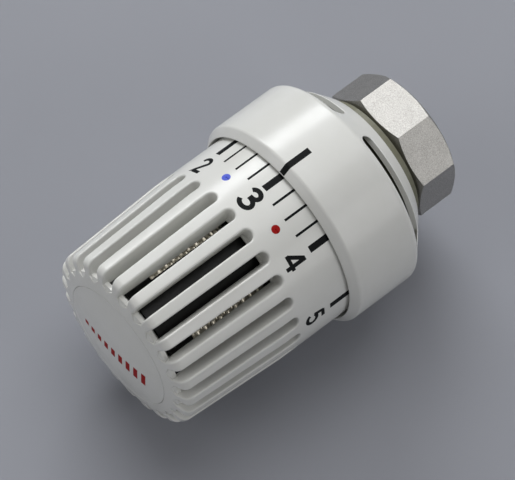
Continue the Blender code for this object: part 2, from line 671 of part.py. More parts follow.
def build_front_cap():
    """Domed disc in the knob's front, held by barbed legs behind the handwheel's ledge."""
    low = CAP_SEAT + REST_GAP
    leg_outer = CAP_LEDGE_INNER - SNAP_GAP
    barb_top = CAP_SEAT - CAP_LEDGE - REST_GAP
    stations = [CAP_RADIUS * share for share in (0.0, 0.25, 0.5, 0.75, 0.9, 1.0)]
    dome = [(radius, dome_height(radius)) for radius in stations]
    obj = turned("front_cap", dome + [
        (CAP_RADIUS, low),
        (leg_outer, low),
        (leg_outer, barb_top),
        (leg_outer + CAP_BARB, barb_top),
        (leg_outer, barb_top - CAP_BARB_HEIGHT),
        (leg_outer - CAP_LEG_WALL, barb_top - CAP_BARB_HEIGHT),
        (leg_outer - CAP_LEG_WALL, low),
        (0.0, low),
    ], "white_abs")
    bm = bmesh.new()
    half = CAP_LEG_SLIT / 2.0
    for slit in range(CAP_LEG_COUNT // 2):
        angle = 45.0 + slit * 90.0
        box(bm, (-CAP_RADIUS - 1.0, CAP_RADIUS + 1.0), (-half, half),
            (barb_top - 2.0 * CAP_BARB_HEIGHT, barb_top + CAP_LEDGE), at_angle(angle))
    boolean(obj, cutter("cap_slit_cutter", bm), "DIFFERENCE")
    return obj


def carrier_ring_low():
    """Height of the snap ring under the carrier's flange."""
    return CARRIER_LOW - REST_GAP - CARRIER_RING_HEIGHT


def build_sensor_carrier():
    """Keyed carrier: a seat for the sensor, a flange with air holes, three legs and the can's open cage."""
    seat = CARRIER_LOW + CARRIER_SEAT
    flange_top = CARRIER_LOW + CARRIER_FLANGE
    obj = turned("sensor_carrier", [
        (CAGE_OUTER, CAGE_TOP),
        (CAGE_OUTER, flange_top),
        (CARRIER_RADIUS, flange_top),
        (CARRIER_RADIUS, CARRIER_LOW),
        (CARRIER_SEAT_INNER, CARRIER_LOW),
        (CARRIER_SEAT_INNER, seat),
        (CAGE_INNER, seat),
        (CAGE_INNER, CAGE_TOP),
    ], "black_acetal", INNER_STEPS)
    legs = bmesh.new()
    holes = bmesh.new()
    for leg in range(LEG_COUNT):
        angle = leg * 360.0 / LEG_COUNT
        half = LEG_WIDTH / 2.0
        box(legs, (LEG_INNER, LEG_OUTER), (-half, half), (LEG_BOTTOM, CARRIER_LOW + 1.0), at_angle(angle))
        start = angle + 180.0 / LEG_COUNT - AIR_HOLE_ARC / 2.0
        sector(holes, CAGE_OUTER + AIR_HOLE_MARGIN, CARRIER_RADIUS - CARRIER_RIM, start, start + AIR_HOLE_ARC,
               CARRIER_LOW - 1.0, flange_top + 1.0)
    for opening in range(CAGE_OPENINGS):
        start = CAGE_TURN + opening * 360.0 / CAGE_OPENINGS - CAGE_OPENING_ARC / 2.0
        sector(holes, CAGE_INNER - RUN_GAP, CAGE_OUTER + RUN_GAP, start, start + CAGE_OPENING_ARC,
               CAGE_OPENING_LOW, CAN_TOP, 4)
    boolean(obj, cutter("carrier_legs", legs), "UNION")
    boolean(obj, cutter("carrier_holes", holes), "DIFFERENCE")
    return obj


def build_sensor():
    """Liquid sensor: can, end plate, bellows with its closed top, filling stub and retainer."""
    plate_top = CAN_LOW - SNAP_GAP
    flange = CAN_RADIUS + CAN_FLANGE
    inner = CAN_RADIUS - CAN_WALL
    crown = arc((CAN_RADIUS - CAN_CORNER, CAN_TOP - CAN_CORNER), CAN_CORNER, 90.0, 0.0, 4)
    inside = arc((CAN_RADIUS - CAN_CORNER, CAN_TOP - CAN_CORNER), CAN_CORNER - CAN_WALL, 0.0, 90.0, 4)
    turned("sensor_can", [(0.0, CAN_TOP)] + crown + [
        (CAN_RADIUS, CAN_LOW + CAN_FLANGE_HEIGHT),
        (flange, CAN_LOW + CAN_FLANGE_HEIGHT),
        (flange, CAN_LOW),
        (inner, CAN_LOW),
    ] + inside + [(0.0, CAN_TOP - CAN_WALL)], "sensor_metal", INNER_STEPS)
    ring("sensor_end_plate", PLATE_HOLE, flange, plate_top - PLATE_THICKNESS, plate_top, "brass", INNER_STEPS)
    low = CAN_LOW + SNAP_GAP
    outside = []
    for fold in range(BELLOWS_FOLDS):
        top = low + (BELLOWS_FOLDS - fold) * BELLOWS_PITCH
        outside += [(BELLOWS_INNER + BELLOWS_WALL, top), (BELLOWS_OUTER, top - BELLOWS_PITCH / 2.0)]
    outside.append((BELLOWS_INNER + BELLOWS_WALL, low))
    roof = low + BELLOWS_FOLDS * BELLOWS_PITCH + BELLOWS_ROOF
    ceiling = roof - BELLOWS_ROOF - BELLOWS_WALL
    bore = [(radius - BELLOWS_WALL, height) for radius, height in reversed(outside)]
    bore[-1] = (BELLOWS_INNER, ceiling)
    turned("sensor_bellows", [(0.0, roof), (BELLOWS_INNER + BELLOWS_WALL, roof)] + outside
           + bore + [(0.0, ceiling)], "brass", SMALL_STEPS)
    turned("filling_stub", [
        (0.0, CAN_TOP + STUB_HEIGHT),
        (STUB_RADIUS * 0.5, CAN_TOP + STUB_HEIGHT),
        (STUB_RADIUS, CAN_TOP + STUB_HEIGHT * 0.7),
        (STUB_RADIUS, CAN_TOP + STUB_HEIGHT * 0.33),
        (STUB_FOOT_RADIUS, CAN_TOP + STUB_HEIGHT * 0.2),
        (STUB_FOOT_RADIUS, CAN_TOP + SNAP_GAP),
        (0.0, CAN_TOP + SNAP_GAP),
    ], "copper", 20)
    retainer = CAN_LOW + CAN_FLANGE_HEIGHT + SNAP_GAP
    ring("sensor_retainer", CAN_RADIUS + REST_GAP, CAGE_INNER - SNAP_GAP, retainer,
         retainer + RETAINER_HEIGHT, "spring_steel", INNER_STEPS)
    return ceiling


def build_wheel_bearing():
    """Snap ring below the carrier's flange and slip washer above it."""
    low = carrier_ring_low()
    ring("carrier_snap_ring", CARRIER_RADIUS - CARRIER_RING_WIDTH, WHEEL_BORE + CARRIER_RING_BITE, low,
         low + CARRIER_RING_HEIGHT, "spring_steel", INNER_STEPS)
    flange_top = CARRIER_LOW + CARRIER_FLANGE
    ring("slip_washer", DRUM_RADIUS + WASHER_THICKNESS, CARRIER_RADIUS, flange_top + SNAP_GAP,
         flange_top + SNAP_GAP + WASHER_THICKNESS, "ptfe", INNER_STEPS)


def build_push_rod(thrust_top):
    """Push rod, spring cup with its snap ring, over-travel spring, thrust pin and guide bush."""
    turned("push_rod", [
        (0.0, ROD_SPIGOT_TOP),
        (ROD_SPIGOT_RADIUS - SPIGOT_CHAMFER, ROD_SPIGOT_TOP),
        (ROD_SPIGOT_RADIUS, ROD_SPIGOT_TOP - SPIGOT_CHAMFER),
        (ROD_SPIGOT_RADIUS, ROD_FLANGE_LOW + ROD_FLANGE),
        (ROD_FLANGE_RADIUS, ROD_FLANGE_LOW + ROD_FLANGE),
        (ROD_FLANGE_RADIUS, ROD_FLANGE_LOW),
        (ROD_RADIUS, ROD_FLANGE_LOW),
        (ROD_RADIUS, ROD_TIP + ROD_CHAMFER),
        (ROD_RADIUS - ROD_CHAMFER, ROD_TIP),
        (0.0, ROD_TIP),
    ], "nickel_brass", SMALL_STEPS)
    inner = CUP_RADIUS - CUP_WALL
    groove = inner + CUP_RING_BITE
    ring_top = CUP_RING_LOW + CUP_RING_HEIGHT
    turned("spring_cup", [
        (0.0, CUP_TOP),
        (CUP_RADIUS - CUP_CHAMFER, CUP_TOP),
        (CUP_RADIUS, CUP_TOP - CUP_CHAMFER),
        (CUP_RADIUS, CUP_BOTTOM),
        (inner, CUP_BOTTOM),
        (inner, CUP_RING_LOW - SNAP_GAP),
        (groove, CUP_RING_LOW - SNAP_GAP),
        (groove, ring_top + SNAP_GAP),
        (inner, ring_top + SNAP_GAP),
        (inner, CUP_TOP - CUP_ROOF),
        (0.0, CUP_TOP - CUP_ROOF),
    ], "black_acetal", SMALL_STEPS)
    ring("cup_snap_ring", groove - SNAP_GAP - CUP_RING_WIDTH, groove - SNAP_GAP, CUP_RING_LOW, ring_top,
         "spring_steel", SMALL_STEPS)
    pin_low = CUP_TOP + SNAP_GAP
    turned("thrust_pin", [
        (0.0, thrust_top - SNAP_GAP),
        (THRUST_RADIUS - THRUST_CHAMFER, thrust_top - SNAP_GAP),
        (THRUST_RADIUS, thrust_top - SNAP_GAP - THRUST_CHAMFER),
        (THRUST_RADIUS, pin_low),
        (0.0, pin_low),
    ], "spring_steel", SMALL_STEPS)
    ring("guide_bush", BUSH_INNER, BUSH_OUTER, WEB_BOTTOM + BORE_GAP, BOSS_TOP - BORE_GAP, "ptfe", SMALL_STEPS)
    build_spring(ROD_FLANGE_LOW + ROD_FLANGE + SNAP_GAP, CUP_TOP - CUP_ROOF - SNAP_GAP,
                 (ROD_SPIGOT_RADIUS + inner) / 2.0)


def wire(name, points, thickness, material, cyclic=False):
    """A round wire through points in mm, with closed ends."""
    curve = bpy.data.curves.new(name, "CURVE")
    curve.dimensions = "3D"
    curve.bevel_depth = thickness / 2.0 * MM
    curve.bevel_resolution = 2
    curve.use_fill_caps = True
    spline = curve.splines.new("POLY")
    spline.points.add(len(points) - 1)
    for place, (x, y, z) in zip(spline.points, points):
        place.co = (x * MM, y * MM, z * MM, 1.0)
    spline.use_cyclic_u = cyclic
    obj = bpy.data.objects.new(name, curve)
    model.objects.link(obj)
    obj.parent = axis_frame
    curve.materials.append(finish(material))
    return obj


def build_spring(low, high, radius):
    """Compression spring with a flat turn at each end."""
    per_turn = 14
    bottom = low + SPRING_WIRE / 2.0
    top = high - SPRING_WIRE / 2.0
    end_rise = SPRING_WIRE * 1.15 * SPRING_END
    points = []
    for step in range(SPRING_TURNS * per_turn + 1):
        turn = step / per_turn
        first = min(turn / SPRING_END, 1.0)
        share = min(max((turn - SPRING_END) / (SPRING_TURNS - 2.0 * SPRING_END), 0.0), 1.0)
        last = max((turn - SPRING_TURNS) / SPRING_END + 1.0, 0.0)
        height = bottom + end_rise * (first + last) + share * (top - bottom - 2.0 * end_rise)
        angle = 2.0 * math.pi * turn
        points.append((radius * math.cos(angle), radius * math.sin(angle), height))
    wire("over_travel_spring", points, SPRING_WIRE, "spring_steel")


def build_nut_fittings():
    """Open snap ring that keeps the nut on the sleeve, and the toothed ring that grips the valve."""
    middle = NUT_LENGTH - NUT_FLANGE - REST_GAP - RING_WIRE / 2.0
    radius = SLEEVE_RADIUS - RING_GROOVE_DEPTH + SNAP_GAP + RING_WIRE / 2.0
    count = 40
    points = []
    for step in range(count + 1):
        angle = math.radians(RING_OPENING / 2.0 + (360.0 - RING_OPENING) * step / count)
        points.append((radius * math.cos(angle), radius * math.sin(angle), middle))
    wire("nut_snap_ring", points, RING_WIRE, "spring_steel")
    outer = SLEEVE_RADIUS - SLEEVE_WALL - SNAP_GAP
    obj = ring("anti_rotation_ring", outer - GRIP_WALL, outer, GRIP_LOW, WEB_BOTTOM - REST_GAP, "brass")
    bm = bmesh.new()
    half = GRIP_TOOTH_GAP / 2.0
    for tooth in range(GRIP_TEETH):
        box(bm, (outer - GRIP_WALL - 1.0, outer - GRIP_WALL + GRIP_TOOTH_DEPTH), (-half, half),
            (GRIP_LOW - 1.0, GRIP_LOW + GRIP_TOOTH_LENGTH), at_angle(tooth * 360.0 / GRIP_TEETH))
    boolean(obj, cutter("grip_teeth_cutter", bm), "DIFFERENCE")


clear_scene()
model = bpy.data.collections.new("thermostatic_head")
cutters = bpy.data.collections.new("cutters")
bpy.context.scene.collection.children.link(model)
bpy.context.scene.collection.children.link(cutters)
axis_frame = bpy.data.objects.new("head_axis", None)
model.objects.link(axis_frame)
axis_frame.rotation_euler = (math.radians(90.0), 0.0, 0.0)

build_union_nut()
build_collar()
build_socket_body()
build_stop_pins()
build_handwheel()
build_front_cap()
build_sensor_carrier()
bellows_roof = build_sensor()
build_wheel_bearing()
build_push_rod(bellows_roof)
build_nut_fittings()
bpy.context.view_layer.update()
for item in model.objects:
    if item.type == "MESH":
        smooth(item)
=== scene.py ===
"""Looks of a thermostatic radiator valve head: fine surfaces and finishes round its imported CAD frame.

All shapes are worked out in millimetres in the head's own terms: a radius from the axis, an angle psi
counted from the setting mark, and a height along the axis from the union nut's rear face. In the
row frame that is x = r sin(psi), y = -height, z = r cos(psi).
"""

import json
import math

import bmesh
import bpy
import numpy as np
from mathutils import Matrix, Vector

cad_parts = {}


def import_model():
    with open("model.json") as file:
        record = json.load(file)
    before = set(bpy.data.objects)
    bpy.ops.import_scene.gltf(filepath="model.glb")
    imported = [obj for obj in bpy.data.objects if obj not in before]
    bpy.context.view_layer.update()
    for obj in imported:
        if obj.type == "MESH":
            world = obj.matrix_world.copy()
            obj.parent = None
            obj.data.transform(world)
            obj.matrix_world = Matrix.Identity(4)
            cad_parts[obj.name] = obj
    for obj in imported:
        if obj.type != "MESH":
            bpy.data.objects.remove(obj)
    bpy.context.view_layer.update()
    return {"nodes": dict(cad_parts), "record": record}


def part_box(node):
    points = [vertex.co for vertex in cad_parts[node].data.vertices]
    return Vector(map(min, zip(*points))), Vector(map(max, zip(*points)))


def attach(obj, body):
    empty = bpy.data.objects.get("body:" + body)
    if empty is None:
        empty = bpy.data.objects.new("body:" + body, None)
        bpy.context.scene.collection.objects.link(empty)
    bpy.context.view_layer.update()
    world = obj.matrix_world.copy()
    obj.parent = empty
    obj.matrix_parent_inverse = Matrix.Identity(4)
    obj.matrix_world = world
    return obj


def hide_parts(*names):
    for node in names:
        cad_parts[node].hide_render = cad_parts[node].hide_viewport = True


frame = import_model()

MM = 0.001


def reach(node):
    """(largest radius, rear height, front height) of a CAD node, in millimetres."""
    low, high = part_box(node)
    return high.z / MM, -high.y / MM, -low.y / MM


COLLAR_RADIUS, COLLAR_REAR, COLLAR_FRONT = reach("collar")
SCALE_RADIUS, WHEEL_REAR, _ = reach("handwheel")
CAP_RADIUS, _, DOME_TOP = reach("front_cap")
NUT_LENGTH = reach("union_nut")[2]
CAN_FLANGE_RADIUS, CAN_LOW, CAN_TOP = reach("sensor_can")

# Handwheel
SLOTS = 24
SECTOR = 360.0 / SLOTS
SLOT_HALF = 1.53        # half width of a groove at the barrel's surface
WINDOW_HALF = 1.40      # half width of a window, and of the groove at its floor
EDGE_ROUND = 0.45       # rounding of a rib's edges
FLOOR_RADIUS = 19.7     # floor of the grooves
DRUM_RADIUS = 19.0      # bore behind the windows
WINDOW_FRONT = 86.25
SLOT_END = 55.1         # rear tip of a groove's round end
RIB_START = 59.3        # from here the ribs taper towards the front
RIB_FRONT_RADIUS = 22.8
WHEEL_CORNER = 2.2
DOME_RADIUS = 82.0
NOTCH_TIP = 18.4        # radius where a groove's pointed run-out ends on the dome
NOTCH_BASE = 87.30      # height of the run-out's foot on the groove floor
RING_JOIN = 53.3        # height where the grooved part meets the plain scale ring
WINDOW_REAR = 56.0      # height where a window ends, just inside its groove's round end
WHEEL_BORE = 22.7
WHEEL_CHAMFER = 0.5     # on the rear edge, inside the collar
BORE_TOP = 52.0         # shoulder where the wide bore narrows to the drum
BORE_GROOVE_RADIUS = 23.4
BORE_GROOVE = (47.7, 48.9)
DRUM_MOUTH = 17.2
DRUM_TOP = 86.3
CAP_SEAT = 86.6         # height of the ring that the front cap rests on
CAP_SEAT_WALL = 1.4
CAP_SEAT_BORE = 13.8
SEAM = 0.08             # gap round the front cap
SEAM_ROUND = 0.10

# Front cap
CAP_BACK = 86.9
LEG_RADIUS = 13.6
LEG_WALL = 1.2
LEG_TIP = 83.5
BARB = 0.5              # how far the leg's barb stands out
BARB_HEIGHT = 84.9

# Angles of the columns in half a sector; the fourth is the window's edge at the drum's bore
WINDOW_ANGLE = math.degrees(math.asin(WINDOW_HALF / DRUM_RADIUS))
COLUMNS = np.array([0.0, WINDOW_ANGLE / 3.0, WINDOW_ANGLE / 1.5, WINDOW_ANGLE, 5.8, SECTOR / 2.0])

# Collar
CONE_ANGLE = 47.3
CONE_SMALL_RADIUS = 19.7
CONE_START = COLLAR_REAR + 0.8
CONE_WALL = 1.3
COLLAR_WALL = 1.1
LIP_CHAMFER = 1.8
LIP_RADIUS = 25.1
LIP_DEPTH = 3.0         # how far the lip's narrow bore runs in
CREASE_ROUND = 1.6
NECK_RADIUS = 16.3
VENTS = 4
VENT_BRIDGE = 18.0
VENT_INNER = 22.5
VENT_OUTER = 26.2
VENT_WALL = 0.15        # the cone thins to this at a vent's rim
VENT_EDGE = 0.12        # rounding of the rim
VENT_FIELD = 21.7       # the vents' quarters run in to this radius

# Print
DEGREES_PER_NUMBER = 41.0
SHOWN_NUMBER = 3        # the number at the setting mark
INK = 0.012             # how proud the print stands


# Surfaces ---------------------------------------------------------------------------------------

def world(radius, psi, height):
    """Row-frame points in mm of radius, angle in degrees and height, as arrays of one shape."""
    radius, psi, height = np.broadcast_arrays(radius, np.radians(psi), height)
    return np.stack([radius * np.sin(psi), -height, radius * np.cos(psi)], axis=-1)


def grid(points, around=False, closed=False, missing=None):
    """(vertices, quads) of a rows x columns grid of points.

    around joins the last column to the first, closed joins the last row to the first, and missing
    is a mask of the quads left out.
    """
    rows, columns = points.shape[:2]
    index = np.arange(rows * columns).reshape(rows, columns)
    if around:
        index = np.concatenate([index, index[:, :1]], axis=1)
    if closed:
        index = np.concatenate([index, index[:1]], axis=0)
    quads = np.stack([index[:-1, :-1], index[:-1, 1:], index[1:, 1:], index[1:, :-1]], axis=-1)
    if missing is not None:
        quads = quads[~missing]
    return points.reshape(-1, 3), quads.reshape(-1, 4)


def joined(parts):
    """One (vertices, quads) of several."""
    starts = np.cumsum([0] + [len(points) for points, _ in parts[:-1]])
    points = np.concatenate([points for points, _ in parts])
    return points, np.concatenate([quads + start for (_, quads), start in zip(parts, starts)])


def repeated(part, count):
    """Copies of a part turned round the axis in equal steps, as one stack of arrays."""
    points, quads = part
    turn = np.radians(np.arange(count) * 360.0 / count)[:, None]
    x = points[:, 0] * np.cos(turn) + points[:, 2] * np.sin(turn)
    z = points[:, 2] * np.cos(turn) - points[:, 0] * np.sin(turn)
    y = np.broadcast_to(points[:, 1], x.shape)
    all_points = np.stack([x, y, z], axis=-1).reshape(-1, 3)
    all_quads = (quads[None] + np.arange(count)[:, None, None] * len(points)).reshape(-1, 4)
    return all_points, all_quads


def turned(profile, angles, missing=None):
    """The surface of (radius, height) points carried round the axis at these angles."""
    profile = np.asarray(profile, float)
    points = world(profile[:, :1], np.asarray(angles)[None, :], profile[:, 1:])
    return grid(points, around=True, missing=missing)


def piece(name, surface, body, material, stands_for=(), sharp=32.0):
    """A shown piece from a surface in mm: doubles welded, faces outwards, smooth but for real edges."""
    points, quads = surface
    mesh = bpy.data.meshes.new(name)
    mesh.from_pydata((points * MM).tolist(), [], quads.tolist())
    bm = bmesh.new()
    bm.from_mesh(mesh)
    bmesh.ops.remove_doubles(bm, verts=bm.verts, dist=0.000002)
    bmesh.ops.dissolve_degenerate(bm, dist=0.000001, edges=bm.edges)
    bmesh.ops.recalc_face_normals(bm, faces=bm.faces)
    bm.to_mesh(mesh)
    bm.free()
    mesh.shade_smooth()
    mesh.set_sharp_from_angle(angle=math.radians(sharp))
    mesh.materials.append(material)
    obj = bpy.data.objects.new(name, mesh)
    bpy.context.scene.collection.objects.link(obj)
    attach(obj, body)
    if stands_for:
        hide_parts(*stands_for)
    return obj


def arc(centre, radius, start, end, count):
    """Points (r, height) on an arc; angles in degrees, 0 along +r and 90 along +height."""
    angle = np.radians(np.linspace(start, end, count + 1))
    return np.stack([centre[0] + radius * np.cos(angle), centre[1] + radius * np.sin(angle)], axis=1)


def rounded(before, corner, after, radius, count=6):
    """Points of the arc that rounds the corner between two straight stretches of a profile."""
    before, corner, after = (np.asarray(point, float) for point in (before, corner, after))
    back = (before - corner) / np.linalg.norm(before - corner)
    ahead = (after - corner) / np.linalg.norm(after - corner)
    half = math.acos(float(np.clip(back @ ahead, -1.0, 1.0))) / 2.0
    reach_back = radius / math.tan(half)
    middle = (back + ahead) / np.linalg.norm(back + ahead)
    centre = corner + middle * radius / math.sin(half)
    first = corner + back * reach_back - centre
    last = corner + ahead * reach_back - centre
    start = math.atan2(first[1], first[0])
    sweep = (math.atan2(last[1], last[0]) - start + math.pi) % (2.0 * math.pi) - math.pi
    return arc(centre, radius, math.degrees(start), math.degrees(start + sweep), count)


def profile_of(corners, rounds):
    """A profile through corner points, each rounded by its radius; a radius of 0 keeps it sharp."""
    corners = [np.asarray(corner, float) for corner in corners]
    parts = [corners[0][None]]
    for before, corner, after, radius in zip(corners, corners[1:], corners[2:], rounds):
        parts.append(rounded(before, corner, after, radius) if radius else corner[None])
    parts.append(corners[-1][None])
    return np.concatenate(parts)


def even_angles(count):
    """Equal angles round the axis, starting at the setting mark."""
    return np.arange(count) * 360.0 / count


# Handwheel --------------------------------------------------------------------------------------

def dome(radius):
    """Height of the knob's domed front at a radius."""
    return DOME_TOP - DOME_RADIUS + np.sqrt(DOME_RADIUS**2 - np.asarray(radius, float)**2)


def slot_middle():
    """Height of the centre of a groove's round end."""
    return SLOT_END + SLOT_HALF


def barrel_outline():
    """Stations along a rib's back, from the cap's hole over the dome and the corner to the round end.

    Returns radius, height, and the outward normal's radial and axial parts, and how many stations
    belong to the plain dome, the notch, the rest of the dome and the corner.
    """
    start = CAP_RADIUS + SEAM + SEAM_ROUND
    on_taper = 24.0     # radius of one more station between the corner and the taper's start
    counts = (3, 6, 2, 9)
    slope = (SCALE_RADIUS - RIB_FRONT_RADIUS) / (DOME_TOP - RIB_START)
    edge = float(dome(RIB_FRONT_RADIUS))
    corner = (SCALE_RADIUS - slope * (edge - RIB_START), edge)
    inside = (FLOOR_RADIUS + 0.3, float(dome(FLOOR_RADIUS + 0.3)))
    bend = rounded(inside, corner, (SCALE_RADIUS, RIB_START), WHEEL_CORNER, counts[3])
    on_dome = np.concatenate([
        np.linspace(start, NOTCH_TIP, counts[0] + 1),
        np.linspace(NOTCH_TIP, FLOOR_RADIUS, counts[1] + 1)[1:],
        np.linspace(FLOOR_RADIUS, bend[0, 0], counts[2] + 1)[1:-1],
    ])
    radius = np.concatenate([on_dome, bend[:, 0], [on_taper, SCALE_RADIUS, SCALE_RADIUS]])
    height = np.concatenate([dome(on_dome), bend[:, 1], [0.0, RIB_START, slot_middle()]])
    share = (SCALE_RADIUS - radius[-3]) / slope
    height[-3] = RIB_START + share
    along = np.gradient(np.stack([radius, height], axis=1), axis=0)
    along[-2:] = (0.0, -1.0)
    along[-3] = (slope, -1.0)
    along /= np.linalg.norm(along, axis=1, keepdims=True)
    return radius, height, -along[:, 1], along[:, 0], counts


def cross_columns(radius, height, normal_r, normal_h, top, foot, edge, floor):
    """Half a cross-section of the barrel, from the groove's middle to the rib's middle, for each station.

    top and foot are the groove's half widths at the surface and at its floor, edge the rounding and
    floor the floor's (radius, height). Columns: four on the floor, one on the wall, seven round the
    edge, five on the rib's back. The arrays hold one value a station and the result is
    (stations, columns, lateral / radial / height).
    """
    radius, height, normal_r, normal_h, top, foot, edge = (
        value[:, None] for value in (radius, height, normal_r, normal_h, top, foot, edge)
    )
    floor_r, floor_h = floor[0][:, None], floor[1][:, None]
    share = (COLUMNS[:4] / WINDOW_ANGLE)[None, :]
    on_floor = np.stack(np.broadcast_arrays(foot * share, floor_r, floor_h), axis=-1)
    beta = np.radians(np.linspace(0.0, 90.0, 7))[None, :]
    across = top + edge * (1.0 - np.cos(beta))
    depth = edge * (1.0 - np.sin(beta))
    round_edge = np.stack(np.broadcast_arrays(
        across, np.sqrt(radius**2 - across**2) - normal_r * depth, height - normal_h * depth), axis=-1)
    wall = (on_floor[:, -1:] + round_edge[:, :1]) / 2.0
    first = np.degrees(np.arcsin((top + edge) / radius))
    angle = np.radians(first + (SECTOR / 2.0 - first) * (COLUMNS / COLUMNS[-1])[None, 1:])
    back = np.stack(np.broadcast_arrays(radius * np.sin(angle), radius * np.cos(angle), height), axis=-1)
    return np.concatenate([on_floor, wall, round_edge, back], axis=1)


def round_end_columns():
    """The same columns fanned round the groove's rear end, a half circle about the slot's middle.

    Each row is a ray from that middle; the first row lies across the groove and the last along it.
    The rays end on the rib's middle line and then on the circle where the scale ring begins.
    """
    middle = slot_middle()
    side, rear = 6, len(COLUMNS) - 1
    theta = np.radians(np.concatenate([np.linspace(90.0, 45.0, side + 1),
                                       np.linspace(45.0, 0.0, rear + 1)[1:]]))[:, None]
    end_angle = np.concatenate([np.full(side + 1, SECTOR / 2.0), COLUMNS[::-1][1:]])[:, None]
    end_height = np.concatenate([np.linspace(middle, RING_JOIN, side + 1), np.full(rear, RING_JOIN)])[:, None]
    share = (COLUMNS[:4] / WINDOW_ANGLE)[None, :]
    reach_floor = WINDOW_HALF * share
    rearward = (WINDOW_REAR - middle + WINDOW_HALF) * share
    on_floor = np.stack(np.broadcast_arrays(
        reach_floor * np.sin(theta), FLOOR_RADIUS, WINDOW_REAR - rearward * np.cos(theta)), axis=-1)
    beta = np.radians(np.linspace(0.0, 90.0, 7))[None, :]
    away = SLOT_HALF + EDGE_ROUND * (1.0 - np.cos(beta))
    depth = EDGE_ROUND * (1.0 - np.sin(beta))
    across = away * np.sin(theta)
    round_edge = np.stack(np.broadcast_arrays(
        across, np.sqrt(SCALE_RADIUS**2 - across**2) - depth, middle - away * np.cos(theta)), axis=-1)
    wall = (on_floor[:, -1:] + round_edge[:, :1]) / 2.0
    start_angle = np.degrees(np.arcsin(round_edge[:, -1:, 0] / SCALE_RADIUS))
    start_height = round_edge[:, -1:, 2]
    out = (COLUMNS / COLUMNS[-1])[None, 1:]
    angle = np.radians(start_angle + (end_angle - start_angle) * out)
    back = np.stack([SCALE_RADIUS * np.sin(angle), SCALE_RADIUS * np.cos(angle),
                     start_height + (end_height - start_height) * out], axis=-1)
    return np.concatenate([on_floor, wall, round_edge, back], axis=1)


def mirrored(half):
    """Both halves of a sector's (lateral, radial, height) grid as row-frame points."""
    flipped = half[:, ::-1] * np.array([-1.0, 1.0, 1.0])
    full = np.concatenate([flipped[:, :-1], half], axis=1)
    return np.stack([full[..., 0], -full[..., 2], full[..., 1]], axis=-1)


def grooved_sector():
    """One of the 24 sectors of the barrel and dome, with its groove, pointed run-out and window walls.

    Returns the sector and the heights of the rows along its window, which the drum's bore repeats.
    """
    radius, height, normal_r, normal_h, counts = barrel_outline()
    tip, base = counts[0], counts[0] + counts[1]
    corner_end = base + counts[2] + counts[3]
    stations = len(radius)
    open_share = np.clip((np.arange(stations) - tip) / counts[1], 0.0, 1.0)
    station = np.arange(stations)
    floor_r = np.where(station <= tip, radius, NOTCH_TIP + (FLOOR_RADIUS - NOTCH_TIP) * open_share)
    ramp = dome(NOTCH_TIP) + (NOTCH_BASE - dome(NOTCH_TIP)) * open_share
    run = np.interp(station, [base, corner_end], [NOTCH_BASE, WINDOW_FRONT])
    floor_h = np.where(station <= tip, height, np.where(station <= base, ramp, run))
    floor_h[corner_end + 1:] = height[corner_end + 1:]
    floor_h[-1] = WINDOW_REAR
    front = cross_columns(radius, height, normal_r, normal_h, SLOT_HALF * open_share,
                          WINDOW_HALF * open_share, EDGE_ROUND * open_share, (floor_r, floor_h))
    half = np.concatenate([front, round_end_columns()[1:]])
    points = mirrored(half)
    missing = np.zeros((points.shape[0] - 1, points.shape[1] - 1), bool)
    middle = points.shape[1] // 2
    missing[corner_end:stations - 1, middle - 3:middle + 3] = True
    shell = grid(points, missing=missing)
    walls = []
    rows = np.arange(corner_end, stations)
    for side in (-1.0, 1.0):
        outer = np.stack([np.full(len(rows), side * WINDOW_HALF), -floor_h[rows],
                          np.full(len(rows), FLOOR_RADIUS)], axis=-1)
        inner = world(DRUM_RADIUS, side * WINDOW_ANGLE, floor_h[rows])
        walls.append(grid(np.stack([outer, inner], axis=0)))
    across = np.concatenate([-COLUMNS[3:0:-1], COLUMNS[:4]])
    for end in (floor_h[corner_end], floor_h[-1]):
        outer = np.stack([WINDOW_HALF * across / WINDOW_ANGLE, np.full(len(across), -end),
                          np.full(len(across), FLOOR_RADIUS)], axis=-1)
        inner = world(DRUM_RADIUS, across, end)
        walls.append(grid(np.stack([outer, inner], axis=0)))
    return joined([shell] + walls), floor_h[rows]


